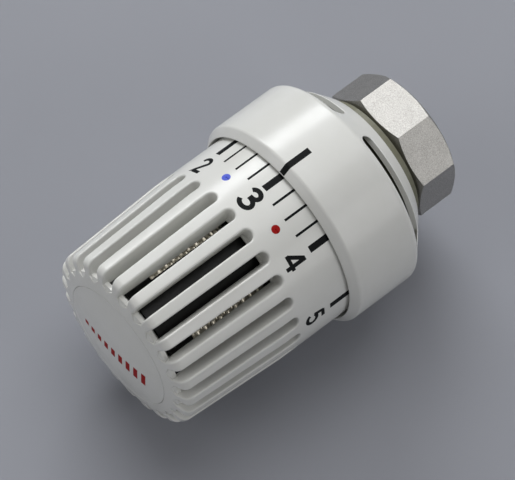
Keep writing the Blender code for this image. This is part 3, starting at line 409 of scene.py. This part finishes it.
def build_handwheel(material):
    """The knob: 24 grooved sectors closed by one turned inside with the windows left out."""
    sector, window_rows = grooved_sector()
    hole = CAP_RADIUS + SEAM
    rim = arc((hole + SEAM_ROUND, float(dome(hole)) - SEAM_ROUND), SEAM_ROUND, 90.0, 180.0, 3)
    rim[0] = (hole + SEAM_ROUND, float(dome(hole + SEAM_ROUND)))
    seat_back = CAP_SEAT - CAP_SEAT_WALL
    before = np.array([
        (hole, CAP_SEAT), (CAP_SEAT_BORE, CAP_SEAT), (CAP_SEAT_BORE, seat_back), (DRUM_MOUTH, seat_back),
        (DRUM_MOUTH, DRUM_TOP), (DRUM_RADIUS, DRUM_TOP),
    ])
    drum = np.stack([np.full(len(window_rows), DRUM_RADIUS), window_rows], axis=1)
    after = np.array([
        (DRUM_RADIUS, BORE_TOP), (WHEEL_BORE, BORE_TOP),
        (WHEEL_BORE, BORE_GROOVE[1]), (BORE_GROOVE_RADIUS, BORE_GROOVE[1]),
        (BORE_GROOVE_RADIUS, BORE_GROOVE[0]), (WHEEL_BORE, BORE_GROOVE[0]), (WHEEL_BORE, WHEEL_REAR),
        (SCALE_RADIUS - WHEEL_CHAMFER, WHEEL_REAR), (SCALE_RADIUS, WHEEL_REAR + WHEEL_CHAMFER),
        (SCALE_RADIUS, 36.0), (SCALE_RADIUS, 46.0), (SCALE_RADIUS, RING_JOIN),
    ])
    profile = np.concatenate([rim, before, drum, after])
    angles = np.concatenate([-COLUMNS[:0:-1], COLUMNS[:-1]])
    angles = (angles[None, :] + even_angles(SLOTS)[:, None]).ravel()
    missing = np.zeros((len(profile) - 1, len(angles)), bool)
    first = len(rim) + len(before)
    per_sector = np.zeros(2 * (len(COLUMNS) - 1), bool)
    per_sector[2:8] = True
    missing[first:first + len(window_rows) - 1] = np.tile(per_sector, SLOTS)
    inside = turned(profile, angles, missing)
    surface = joined([repeated(sector, SLOTS), inside])
    return piece("knob", surface, "wheel", material, ["handwheel"])


def build_front_cap(material):
    """Domed disc in the knob's front with a rounded rim and its barbed leg ring behind."""
    edge = CAP_RADIUS - SEAM_ROUND
    on_dome = np.linspace(0.0, edge, 10)
    top = np.stack([on_dome, dome(on_dome)], axis=1)
    rim = arc((edge, float(dome(edge)) - SEAM_ROUND), SEAM_ROUND, 80.0, 0.0, 3)
    leg_inside = LEG_RADIUS - LEG_WALL
    back = [(CAP_RADIUS, CAP_BACK), (LEG_RADIUS, CAP_BACK), (LEG_RADIUS, BARB_HEIGHT),
            (LEG_RADIUS + BARB, BARB_HEIGHT), (LEG_RADIUS, LEG_TIP), (leg_inside, LEG_TIP),
            (leg_inside, CAP_BACK), (0.0, CAP_BACK)]
    profile = np.concatenate([top, rim, back])
    return piece("cap_disc", turned(profile, even_angles(144)), "wheel", material, ["front_cap"])


# Collar -----------------------------------------------------------------------------------------

def cone(radius, inset=0.0):
    """Height of the collar's rear cone at a radius; inset moves it into the wall."""
    angle = math.radians(CONE_ANGLE)
    out = np.asarray(radius, float) - CONE_SMALL_RADIUS
    return CONE_START + out / math.tan(angle) + inset / math.sin(angle)


def lip():
    """Profile of the collar's front lip: a chamfer with softened edges, from the skirt to the front face."""
    return profile_of([
        (COLLAR_RADIUS, COLLAR_FRONT - LIP_CHAMFER - 1.0), (COLLAR_RADIUS, COLLAR_FRONT - LIP_CHAMFER),
        (COLLAR_RADIUS - LIP_CHAMFER, COLLAR_FRONT), (LIP_RADIUS + 0.05, COLLAR_FRONT),
    ], [1.2, 0.3])


def vent_sector(outer_limit, inner_limit, bore_limit, steps):
    """A quarter of the cone with its curved vent: rows run from the outer surface over the vent's
    rounded rim, down its wall and out over the inner surface; columns go round the vent.

    The vent is a curved slot with half-round ends; a column on a long side meets the vent at its
    own angle, and the columns near the quarter's ends fan round the half circle.
    """
    span = 360.0 / VENTS
    middle, half = (VENT_INNER + VENT_OUTER) / 2.0, (VENT_OUTER - VENT_INNER) / 2.0
    end = VENT_BRIDGE / 2.0 + math.degrees(half / middle)
    ends = 6
    long_side = np.linspace(0.0, span, steps + 1)
    short = np.linspace(0.0, 1.0, ends + 1)[1:-1]
    psi = np.concatenate([long_side, np.full(ends - 1, span), long_side[::-1], np.zeros(ends - 1)])
    out = np.concatenate([np.ones(steps + 1), 1.0 - short, np.zeros(steps + 1), short])
    near = np.minimum(psi, span - psi)
    straight = near >= end
    upper = out > 0.5
    lift = np.where(near < end, 1.0 - near / end, 0.0) * 45.0
    tilt = np.where(out == 1.0, lift, np.where(out == 0.0, 180.0 - lift, 45.0 + 90.0 * (1.0 - out)))
    tilt = np.radians(tilt)
    side = np.where(psi < span / 2.0, -1.0, 1.0)
    centre = np.where(psi < span / 2.0, end, span - end)
    away_r = np.where(straight, np.where(upper, 1.0, -1.0), np.cos(tilt))
    away_psi = np.where(straight, 0.0, side * np.sin(tilt))
    from_psi = np.where(straight, psi, centre)

    def around_vent(grow):
        radius = middle + (half + grow) * away_r
        return radius, from_psi + np.degrees((half + grow) * away_psi / middle)

    def boundary(high, low):
        return low + (high - low) * out, psi

    rows = []
    start_r, start_psi = boundary(outer_limit, inner_limit)
    rim_r, rim_psi = around_vent(VENT_EDGE)
    for share in (0.0, 0.35, 0.7):
        radius = start_r + (rim_r - start_r) * share
        rows.append(world(radius, start_psi + (rim_psi - start_psi) * share, cone(radius)))
    for beta in np.radians(np.linspace(90.0, 0.0, 5)):
        radius, angle = around_vent(VENT_EDGE * (1.0 - math.cos(beta)))
        rows.append(world(radius, angle, cone(radius) + VENT_EDGE * (1.0 - math.sin(beta))))
    radius, angle = around_vent(0.0)
    rows.append(world(radius, angle, cone(radius, VENT_WALL)))
    end_r, end_psi = boundary(bore_limit, inner_limit)
    rows.append(world(end_r, end_psi, cone(end_r, CONE_WALL)))
    return grid(np.stack(rows), around=True)


def build_collar(material):
    """Skirt with a chamfered front lip, a crease, a rear cone with four vents and a neck hole."""
    steps = 48
    bore = COLLAR_RADIUS - COLLAR_WALL
    crease = rounded((COLLAR_RADIUS, COLLAR_FRONT), (COLLAR_RADIUS, float(cone(COLLAR_RADIUS))),
                     (CONE_SMALL_RADIUS, CONE_START), CREASE_ROUND, 6)[::-1]
    outer_limit = crease[0, 0]
    lip_low = COLLAR_FRONT - LIP_DEPTH
    skirt = np.concatenate([crease, lip(), [
        (LIP_RADIUS, COLLAR_FRONT - 0.1), (LIP_RADIUS, lip_low),
        (bore, lip_low - (bore - LIP_RADIUS)), (bore, float(cone(bore, CONE_WALL))),
    ]])
    hole = NECK_RADIUS + 0.3
    inner_end = CONE_SMALL_RADIUS - 0.5
    rear = profile_of([
        (VENT_FIELD, float(cone(VENT_FIELD, CONE_WALL))),
        (inner_end, float(cone(inner_end, CONE_WALL))), (hole, float(cone(inner_end, CONE_WALL))),
        (hole, COLLAR_REAR),
        (CONE_SMALL_RADIUS - 0.9, COLLAR_REAR),
        (CONE_SMALL_RADIUS, CONE_START),
        (VENT_FIELD, float(cone(VENT_FIELD))),
    ], [0.0, 0.0, 0.15, 0.3, 1.2])
    angles = even_angles(VENTS * steps)
    vents = repeated(vent_sector(outer_limit, VENT_FIELD, bore, steps), VENTS)
    surface = joined([turned(skirt, angles), turned(rear, angles), vents])
    return piece("collar_shell", surface, "socket", material, ["collar"])


# Union nut --------------------------------------------------------------------------------------

def build_union_nut(material):
    """Octagonal nut: flats cut by 30 degree chamfers at both ends, a threaded bore and a flange hole.

    The radius at an angle is the octagon's, half the width across flats over the cosine of the
    angle from the nearest flat's middle. A chamfer runs at 30 degrees from the face out to it, so
    the rows of the flats start on the curved line where the two meet.
    """
    sides, turn, half_width, face, slant = 8, -1.9, 16.0, 15.1, math.radians(30.0)
    pitch, thread_depth, bore, flange, hole, hole_land = 1.5, 0.55, 14.3, 2.0, 12.9, 13.6
    mouth_chamfer, thread_start, fade_length, run_out = 0.45, 0.2, 0.8, 1.2
    root, relief_radius = bore + 0.3, bore + 0.6
    per_side = 24
    share = np.linspace(-1.0, 1.0, per_side + 1)[:-1]
    local = np.sign(share) * (1.0 - (1.0 - np.abs(share))**1.3) * 180.0 / sides
    psi = (local[None, :] + even_angles(sides)[:, None] + turn).ravel()
    edge = np.tile(half_width / np.cos(np.radians(local)), sides)
    crease = (edge - face) * math.tan(slant)
    rows = [world(hole, psi, NUT_LENGTH), world(hole_land, psi, NUT_LENGTH), world(face, psi, NUT_LENGTH)]
    for step in (0.5, 1.0):
        rows.append(world(face + (edge - face) * step, psi, NUT_LENGTH - crease * step))
    for step in (0.33, 0.67, 1.0):
        rows.append(world(edge, psi, NUT_LENGTH - crease - (NUT_LENGTH - 2.0 * crease) * step))
    for step in (0.5, 0.0):
        rows.append(world(face + (edge - face) * step, psi, crease * step))
    rows.append(world(bore + mouth_chamfer, psi, 0.0))
    heights = np.linspace(mouth_chamfer, NUT_LENGTH - flange - run_out, 70)
    for height in heights:
        phase = (height / pitch + psi / 360.0) % 1.0
        tooth = np.clip(1.5 - 3.0 * np.abs(2.0 * phase - 1.0), 0.0, 1.0)
        fade = min(1.0, (height - thread_start) / fade_length, (heights[-1] - height) / fade_length)
        rows.append(world(root - max(fade, 0.0) * thread_depth * tooth, psi, height))
    rows += [world(relief_radius, psi, heights[-1] + 0.3), world(relief_radius, psi, NUT_LENGTH - flange)]
    rows += [world(hole, psi, NUT_LENGTH - flange), world(hole, psi, NUT_LENGTH)]
    surface = grid(np.stack(rows), around=True)
    obj = piece("nut", surface, "nut", material, ["union_nut"], sharp=25.0)
    bevel = obj.modifiers.new("worn_edges", "BEVEL")
    bevel.width = 0.12 * MM
    bevel.segments = 2
    bevel.limit_method = "ANGLE"
    bevel.angle_limit = math.radians(24.0)
    bevel.harden_normals = True
    return obj


# Sensor and inner pieces ------------------------------------------------------------------------

def build_sensor_can(material):
    """Deep-drawn can whose side is crimped into rows of small beads.

    The side's radius swells and shrinks with the angle and the height, in rows whose beads are
    shifted by half a bead from row to row, with a slow wander so that no two rows match.
    """
    psi = even_angles(216)
    pitch, beads, swell = 1.1, 36.0, 0.30
    body = CAN_FLANGE_RADIUS - 1.2
    foot = CAN_LOW + 0.8
    heights = np.linspace(foot + 2.5, CAN_TOP - 2.0, 130)
    rows = [world(body - 0.5, psi, CAN_LOW), world(CAN_FLANGE_RADIUS, psi, CAN_LOW),
            world(CAN_FLANGE_RADIUS, psi, foot), world(body, psi, foot), world(body, psi, foot + 2.0)]
    for height in heights:
        wander = 0.6 * np.sin(np.radians(3.0 * psi) + height * 0.4)
        bead = np.cos(np.radians(beads * psi) + math.pi * np.floor(height / pitch) + wander)
        band = abs(math.sin(math.pi * height / pitch))
        rows.append(world(body - 0.32 + swell * band * (0.6 + 0.4 * bead), psi, height))
    for point in arc((body - 1.5, CAN_TOP - 1.5), 1.5, 0.0, 90.0, 6):
        rows.append(world(point[0], psi, point[1]))
    for radius in (11.0, 10.4, 6.0, 0.0):
        rows.append(world(radius, psi, CAN_TOP - (0.3 if radius < 11.0 else 0.0)))
    for radius, height in ((0.0, CAN_TOP - 0.7), (body - 1.2, CAN_TOP - 0.7), (body - 0.9, CAN_TOP - 2.0),
                           (body - 0.9, CAN_LOW + 1.0), (body - 0.5, CAN_LOW)):
        rows.append(world(radius, psi, height))
    return piece("beaded_can", grid(np.stack(rows), around=True), "carriage", material,
                 ["sensor_can"], 40.0)


# Print ------------------------------------------------------------------------------------------

def printed(name, patches, surface_of, body, material):
    """A thin layer of ink: each patch is a rows x columns grid of (along, up) points in mm, laid on a
    surface by surface_of(along, up, lift) and closed by its own underside and edges."""
    parts = []
    for patch in patches:
        top = surface_of(patch[..., 0], patch[..., 1], INK)
        under = surface_of(patch[..., 0], patch[..., 1], -INK * 2.0)
        parts.append(grid(top))
        parts.append(grid(under[:, ::-1]))
        rim = np.concatenate([
            np.stack([top[0], under[0]], axis=1), np.stack([top[1:-1, -1], under[1:-1, -1]], axis=1),
            np.stack([top[-1, ::-1], under[-1, ::-1]], axis=1),
            np.stack([top[-2:0:-1, 0], under[-2:0:-1, 0]], axis=1),
        ])
        parts.append(grid(rim, closed=True))
    return piece(name, joined(parts), body, material)


def on_scale(along, up, lift):
    """Lays a flat drawing on the scale ring: along runs with the numbers, up runs towards the collar."""
    return world(SCALE_RADIUS + lift, np.degrees(along / SCALE_RADIUS), -up)


def on_cap(along, up, lift):
    """Lays a flat drawing on the front cap's dome: along runs with x and up with z."""
    radius = np.hypot(along, up)
    return world(radius, np.degrees(np.arctan2(along, up)), dome(radius) + lift)


def at_angle(patch, angle, up=0.0):
    """A patch of the scale's drawing moved to an angle and up."""
    return patch + np.array([math.radians(angle) * SCALE_RADIUS, up])


def bar(along, up, columns=4, rows=2):
    """A rectangular patch between two values each way."""
    x, y = np.meshgrid(np.linspace(*along, columns), np.linspace(*up, rows))
    return np.stack([x, y], axis=-1)


def disc(radius, rings=4, steps=32):
    """A round patch: rings of growing radius about its middle."""
    angle = np.radians(np.linspace(0.0, 360.0, steps + 1))
    reach_out = np.linspace(0.0, radius, rings + 1)[:, None]
    return np.stack([reach_out * np.cos(angle), reach_out * np.sin(angle)], axis=-1)


def ribbon(path, width):
    """A stroke of constant width along a path, with mitred corners and square ends."""
    path = np.asarray(path, float)
    ahead = np.diff(path, axis=0)
    ahead /= np.linalg.norm(ahead, axis=1, keepdims=True)
    before = np.concatenate([ahead[:1], ahead])
    after = np.concatenate([ahead, ahead[-1:]])
    normal = np.stack([-(before + after)[:, 1], (before + after)[:, 0]], axis=1)
    normal /= np.linalg.norm(normal, axis=1, keepdims=True)
    mitre = (normal * np.stack([-after[:, 1], after[:, 0]], axis=1)).sum(axis=1, keepdims=True)
    normal *= width / 2.0 / np.maximum(mitre, 0.35)
    side = np.linspace(-1.0, 1.0, 4)[None, :, None]
    return path[:, None] + normal[:, None] * side


def bow(centre, reach_x, reach_y, start, end, count=16):
    """Points of an elliptic arc in a digit's own square."""
    angle = np.radians(np.linspace(start, end, count + 1))
    return np.stack([centre[0] + reach_x * np.cos(angle), centre[1] + reach_y * np.sin(angle)], axis=1)


def line(*points):
    """Straight stretches through points, cut short enough to bend round the scale ring."""
    points = np.asarray(points, float)
    parts = [np.linspace(a, b, 5)[:-1] for a, b in zip(points, points[1:])]
    return np.concatenate(parts + [points[-1:]])


def digit_strokes(number):
    """The strokes of a sans-serif digit 1 high and about 0.62 wide, as paths down their middles."""
    stem = 0.085
    if number == 0:
        return [bow((0.31, 0.5), 0.225, 0.415, 90.0, -270.0, 32)]
    if number == 1:
        return [line((0.36, 0.0), (0.36, 1.0)), line((0.10, 0.76), (0.36, 0.88))]
    if number == 2:
        return [np.concatenate([bow((0.31, 0.705), 0.215, 0.21, 172.0, -22.0),
                                line((0.40, 0.47), (0.13, stem), (0.575, stem))])]
    if number == 3:
        upper = bow((0.30, 0.735), 0.195, 0.18, 165.0, -90.0)
        lower = bow((0.30, 0.30), 0.235, 0.215, 90.0, -168.0)
        return [np.concatenate([upper, [(0.22, 0.555)]]), np.concatenate([[(0.22, 0.515)], lower])]
    if number == 4:
        return [line((0.455, 0.0), (0.455, 1.0)), line((0.0, 0.30), (0.61, 0.30)),
                line((0.43, 0.955), (0.075, 0.33))]
    bowl = bow((0.30, 0.335), 0.225, 0.25, 140.0, -160.0)
    return [line((0.155, 0.915), (0.545, 0.915)), line((0.19, 0.93), (0.125, 0.46)), bowl]


def digit(number, height, width, stroke):
    """The patches of one digit, drawn in mm with its foot at 0 and centred along."""
    scale = np.array([width / 0.62, height])
    parts = []
    for path in digit_strokes(number):
        centred = (path - np.array([0.31, 0.0])) * scale
        parts.append(ribbon(centred, stroke))
    return parts


def build_prints(black, blue, red):
    """Numbers, ticks and dots on the scale ring, the collar's setting mark and the cap's row of bars.

    The setting mark follows the collar's profile: its rows are the points of the route over the
    skirt and down the lip, lifted along the route's own normal.
    """
    under_lip = LIP_DEPTH - COLLAR_FRONT
    ticks, numbers = [], []
    for number in range(6):
        angle = (number - SHOWN_NUMBER) * DEGREES_PER_NUMBER
        ticks.append(at_angle(bar((-0.84, 0.84), (-46.1, under_lip), 5, 3), angle))
        large = number == SHOWN_NUMBER
        tall, wide, stroke, top = (6.4, 4.5, 1.18, -46.9) if large else (5.55, 3.95, 0.97, -47.8)
        numbers += [at_angle(patch, angle, top - tall) for patch in digit(number, tall, wide, stroke)]
    for number in (2, 3):
        for quarter in range(1, 4):
            angle = (number - SHOWN_NUMBER + quarter / 4.0) * DEGREES_PER_NUMBER
            ticks.append(at_angle(bar((-0.29, 0.29), (-47.2, under_lip), 3, 3), angle))
    printed("scale_ticks", ticks, on_scale, "wheel", black)
    printed("scale_numbers", numbers, on_scale, "wheel", black)
    printed("night_dot", [at_angle(disc(1.05), -19.9, -50.2)], on_scale, "wheel", blue)
    printed("day_dot", [at_angle(disc(1.05), 21.4, -50.2)], on_scale, "wheel", red)

    route = np.concatenate([[(COLLAR_RADIUS, 32.7), (COLLAR_RADIUS, 36.0)], lip()[:9]])
    ahead = np.gradient(route, axis=0)
    normal = np.stack([ahead[:, 1], -ahead[:, 0]], axis=1) / np.linalg.norm(ahead, axis=1, keepdims=True)

    def on_collar(along, up, lift):
        row = np.rint(up).astype(int)
        radius = route[row, 0] + normal[row, 0] * lift
        return world(radius, np.degrees(along / COLLAR_RADIUS), route[row, 1] + normal[row, 1] * lift)

    mark = bar((-0.8, 0.8), (0.0, len(route) - 1.0), 5, len(route))
    printed("setting_mark", [mark], on_collar, "socket", black)

    starts = np.arange(9) * 2.5 - 10.65
    row = [bar((start, start + 1.3), (-3.0, -1.5 + 0.15 * (start + 11.0)), 3, 4) for start in starts]
    printed("cap_bars", row, on_cap, "wheel", red)


# Materials --------------------------------------------------------------------------------------

def linear(hex_colour):
    """The linear RGBA of an sRGB hex colour."""
    channels = [int(hex_colour[i:i + 2], 16) / 255.0 for i in (1, 3, 5)]
    return tuple(c / 12.92 if c <= 0.04045 else ((c + 0.055) / 1.055)**2.4 for c in channels) + (1.0,)


def add_node(tree, kind, settings=None, values=None, links=None):
    """Adds one node: settings are its properties, values its sockets' values, links its inputs' sources."""
    node = tree.nodes.new(kind)
    for key, value in (settings or {}).items():
        setattr(node, key, value)
    for key, value in (values or {}).items():
        node.inputs[key].default_value = value
    for key, source in (links or {}).items():
        tree.links.new(source, node.inputs[key])
    return node


def shader_of(name, **values):
    """A new material with its Principled shader set to these values; returns material, tree and shader."""
    material = bpy.data.materials.new(name)
    material.use_nodes = True
    tree = material.node_tree
    shader = tree.nodes["Principled BSDF"]
    for key, value in values.items():
        shader.inputs[key.replace("_", " ")].default_value = value
    return material, tree, shader


def per_mm(size):
    """Noise scale whose features are this many millimetres across, on coordinates in metres."""
    return 1.0 / (size * MM)


def noise(tree, coordinates, size, detail=3.0, roughness=0.5):
    """A noise pattern with features of this size in mm."""
    return add_node(tree, "ShaderNodeTexNoise", None,
                    {"Scale": per_mm(size), "Detail": detail, "Roughness": roughness},
                    {"Vector": coordinates})


def span(tree, source, low, high, from_low=0.3, from_high=0.7):
    """Carries a pattern's range over to a range of values."""
    return add_node(tree, "ShaderNodeMapRange", None,
                    {"From Min": from_low, "From Max": from_high, "To Min": low, "To Max": high},
                    {"Value": source}).outputs["Result"]


def tint(tree, factor, first, second):
    """A colour between two by a factor."""
    mix = add_node(tree, "ShaderNodeMix", {"data_type": "RGBA"}, None, {"Factor": factor})
    mix.inputs["A"].default_value = linear(first)
    mix.inputs["B"].default_value = linear(second)
    return mix.outputs["Result"]


def relief(tree, source, depth, shader):
    """Bump of this depth in mm from a pattern."""
    bump = add_node(tree, "ShaderNodeBump", None, {"Strength": 1.0, "Distance": depth * MM},
                    {"Height": source})
    tree.links.new(bump.outputs["Normal"], shader.inputs["Normal"])


def moulded_plastic(name, light, dark, gloss, grain, depth, **values):
    """Injection-moulded plastic: faint flow mottling in the colour, uneven gloss, a fine skin."""
    material, tree, shader = shader_of(name, **values)
    where = add_node(tree, "ShaderNodeTexCoord").outputs["Object"]
    flow = noise(tree, where, 9.0, 4.0, 0.55).outputs["Fac"]
    skin = noise(tree, where, grain, 1.0).outputs["Fac"]
    tree.links.new(tint(tree, span(tree, flow, 0.0, 1.0), light, dark), shader.inputs["Base Color"])
    tree.links.new(span(tree, skin, gloss[0], gloss[1]), shader.inputs["Roughness"])
    relief(tree, skin, depth, shader)
    return material


def plated_metal(name, light, dark, gloss, grain, depth, **values):
    """Metal with a grained skin: specks in the colour, gloss and relief at the grain's size."""
    material, tree, shader = shader_of(name, Metallic=1.0, **values)
    where = add_node(tree, "ShaderNodeTexCoord").outputs["Object"]
    speck = noise(tree, where, grain, 6.0, 0.7).outputs["Fac"]
    cloud = noise(tree, where, grain * 12.0, 3.0).outputs["Fac"]
    cloud_share = 0.12
    specks = add_node(tree, "ShaderNodeMath", {"operation": "MULTIPLY"}, {1: 1.0 - cloud_share},
                      {0: speck}).outputs[0]
    both = add_node(tree, "ShaderNodeMath", {"operation": "MULTIPLY_ADD"}, {1: cloud_share},
                    {0: cloud, 2: specks}).outputs[0]
    shade = span(tree, both, 0.0, 1.0, 0.38, 0.62)
    tree.links.new(tint(tree, shade, light, dark), shader.inputs["Base Color"])
    tree.links.new(span(tree, speck, gloss[0], gloss[1]), shader.inputs["Roughness"])
    relief(tree, speck, depth, shader)
    return material


def drawn_wire(name, light, dark, gloss, **values):
    """Drawn or turned metal: fine rings across the axis in colour, gloss and relief."""
    material, tree, shader = shader_of(name, Metallic=1.0, **values)
    where = add_node(tree, "ShaderNodeTexCoord").outputs["Object"]
    stretched = add_node(tree, "ShaderNodeMapping", None, {"Scale": (0.15, 1.0, 0.15)}, {"Vector": where})
    lines = noise(tree, stretched.outputs["Vector"], 0.25, 3.0).outputs["Fac"]
    stain = noise(tree, where, 3.0, 3.0).outputs["Fac"]
    tree.links.new(tint(tree, span(tree, stain, 0.0, 1.0), light, dark), shader.inputs["Base Color"])
    tree.links.new(span(tree, lines, gloss[0], gloss[1]), shader.inputs["Roughness"])
    relief(tree, lines, 0.004, shader)
    return material


def ink(name, light, dark):
    """Pad-printed ink: a flat film, a little uneven where the pad left less of it."""
    material, tree, shader = shader_of(name, IOR=1.22)
    where = add_node(tree, "ShaderNodeTexCoord").outputs["Object"]
    film = noise(tree, where, 0.5, 4.0, 0.6).outputs["Fac"]
    tree.links.new(tint(tree, span(tree, film, 0.0, 1.0), light, dark), shader.inputs["Base Color"])
    tree.links.new(span(tree, film, 0.50, 0.62), shader.inputs["Roughness"])
    relief(tree, film, 0.001, shader)
    return material


# Polished tool, so the knob, cap and collar carry a clear but soft highlight and hardly any grain
white_abs = moulded_plastic("moulded_white_abs", "#E9E9E5", "#E5E5E0", (0.20, 0.26), 2.5, 0.0008, IOR=1.53)
# Spark-eroded tool gives the neck behind the collar a dull gloss; its dark olive grey is painted shade,
# standing for white plastic in shadow on the neck and inside the vents
painted_shade_abs = moulded_plastic("matt_painted_shade_abs", "#7E7D69", "#74735F", (0.42, 0.56), 0.5, 0.006, IOR=1.53)
# The cage behind the windows swallows the light, so the windows without metal read as black
black_acetal = moulded_plastic("black_acetal", "#0C0C0B", "#090908", (0.35, 0.46), 0.6, 0.004, IOR=1.48)
# A waxy, slightly see-through white sheet
ptfe = moulded_plastic("white_ptfe", "#F0F0ED", "#E8E8E4", (0.35, 0.5), 0.4, 0.003, IOR=1.38)
# Nickel on tumbled brass: a sandy sparkle whose grain is drawn coarser than it is, so that it shows
nickel = plated_metal("matt_nickel_plate", "#BEBCB8", "#9A9894", (0.32, 0.50), 0.25, 0.03)
# Tin on deep-drawn steel: warm, brighter glints on the beads
can_metal = plated_metal("tinned_steel_can", "#DDD7C8", "#C2BAA6", (0.24, 0.36), 0.5, 0.01)
# Lathe rings across the axis, drawn wider apart than they are
brass = drawn_wire("turned_brass", "#D3AE62", "#B8924A", (0.22, 0.38))
# Soft pinched tube, a little stained
copper = drawn_wire("pinched_copper", "#D08A64", "#A8643F", (0.25, 0.42))
# Bright wire and pins
steel = drawn_wire("drawn_spring_steel", "#B9BBBD", "#9A9C9F", (0.2, 0.34))
# Pad print is duller than the plastic round it, so it stays dark in the highlight
black_ink = ink("black_print_ink", "#0E1011", "#141617")
blue_ink = ink("blue_print_ink", "#5666DC", "#6272E2")
red_ink = ink("red_print_ink", "#9C0F0E", "#A81A17")

# The inner white plastic (slot white_abs_inner) takes the dark olive grey that paints its shade
FINISH_OF = {
    "white_abs": white_abs, "white_abs_inner": painted_shade_abs, "black_acetal": black_acetal, "ptfe": ptfe,
    "nickel_brass": nickel, "brass": brass, "spring_steel": steel, "sensor_metal": can_metal,
    "copper": copper,
}


def finish_cad_nodes():
    """Every carried-over CAD node takes the finish of its record's slot."""
    for part in frame["record"]["subparts"]:
        node = frame["nodes"][part["node"]]
        node.data.materials.clear()
        node.data.materials.append(FINISH_OF[part["material_slot"]])


# Stage ------------------------------------------------------------------------------------------

def build_stage():
    """A plain grey floor that the collar lies on."""
    size = 4.0
    ground = -COLLAR_RADIUS * MM
    corners = [(-size, -size, ground), (size, -size, ground), (size, size, ground), (-size, size, ground)]
    mesh = bpy.data.meshes.new("floor")
    mesh.from_pydata(corners, [], [(0, 1, 2, 3)])
    floor = bpy.data.objects.new("floor", mesh)
    material, tree, shader = shader_of("grey_paper", Roughness=0.75)
    where = add_node(tree, "ShaderNodeTexCoord").outputs["Object"]
    fibre = noise(tree, where, 60.0, 3.0).outputs["Fac"]
    shade = span(tree, fibre, 0.0, 1.0)
    tree.links.new(tint(tree, shade, "#9EA0A8", "#9B9DA5"), shader.inputs["Base Color"])
    mesh.materials.append(material)
    bpy.context.scene.collection.objects.link(floor)


def softbox(name, direction, distance, size, power, colour, target):
    """A rectangular area light in watts that looks at the target from a direction and distance in metres."""
    light = bpy.data.lights.new(name, "AREA")
    light.shape = "RECTANGLE"
    light.size, light.size_y = size
    light.energy = power
    light.color = colour
    lamp = bpy.data.objects.new(name, light)
    toward = Vector(direction).normalized()
    lamp.location = target + toward * distance
    lamp.rotation_mode = "QUATERNION"
    lamp.rotation_quaternion = (-toward).to_track_quat("-Z", "Y")
    bpy.context.scene.collection.objects.link(lamp)


def build_lights():
    """A strip of key light from the left, a broad light overhead, two weak fills and a dim surround."""
    target = Vector((0.0, -0.045, 0.0))
    softbox("key", (-0.74, 0.33, 0.58), 1.4, (1.0, 0.4), 8.0, (0.97, 0.99, 1.0), target)
    softbox("overhead", (-0.30, 0.38, 0.87), 1.4, (1.3, 1.3), 8.1, (0.985, 0.99, 1.0), target)
    softbox("right", (0.85, 0.33, 0.42), 1.2, (0.7, 0.7), 2.2, (1.0, 1.0, 1.0), target)
    softbox("front", (-0.30, -0.85, 0.45), 1.4, (1.0, 1.0), 3.2, (1.0, 1.0, 1.0), target)
    surround = bpy.data.worlds.new("studio")
    surround.use_nodes = True
    background = surround.node_tree.nodes["Background"]
    background.inputs["Color"].default_value = (1.0, 1.0, 1.0, 1.0)
    background.inputs["Strength"].default_value = 0.18
    bpy.context.scene.world = surround


def build_camera():
    """The camera looks down on the knob from its front right, turned so that the axis runs across."""
    camera = bpy.data.objects.new("camera", bpy.data.cameras.new("camera"))
    back = Vector((0.3482, -0.3318, 0.8768)).normalized()
    right = Vector((0.6483, 0.7608, 0.0304))
    right = (right - back * right.dot(back)).normalized()
    up = back.cross(right)
    place = Matrix((right, up, back)).transposed().to_4x4()
    place.translation = Vector((0.3404, -0.3715, 0.8588))
    camera.matrix_world = place
    camera.data.sensor_width = 36.0
    camera.data.lens = 297.9
    camera.data.clip_start = 0.05
    bpy.context.scene.collection.objects.link(camera)
    bpy.context.scene.camera = camera


build_camera()
build_stage()
build_lights()
finish_cad_nodes()
build_handwheel(white_abs)
build_front_cap(white_abs)
build_collar(white_abs)
build_union_nut(nickel)
build_sensor_can(can_metal)
build_prints(black_ink, blue_ink, red_ink)
bpy.context.scene.view_settings.view_transform = "Standard"
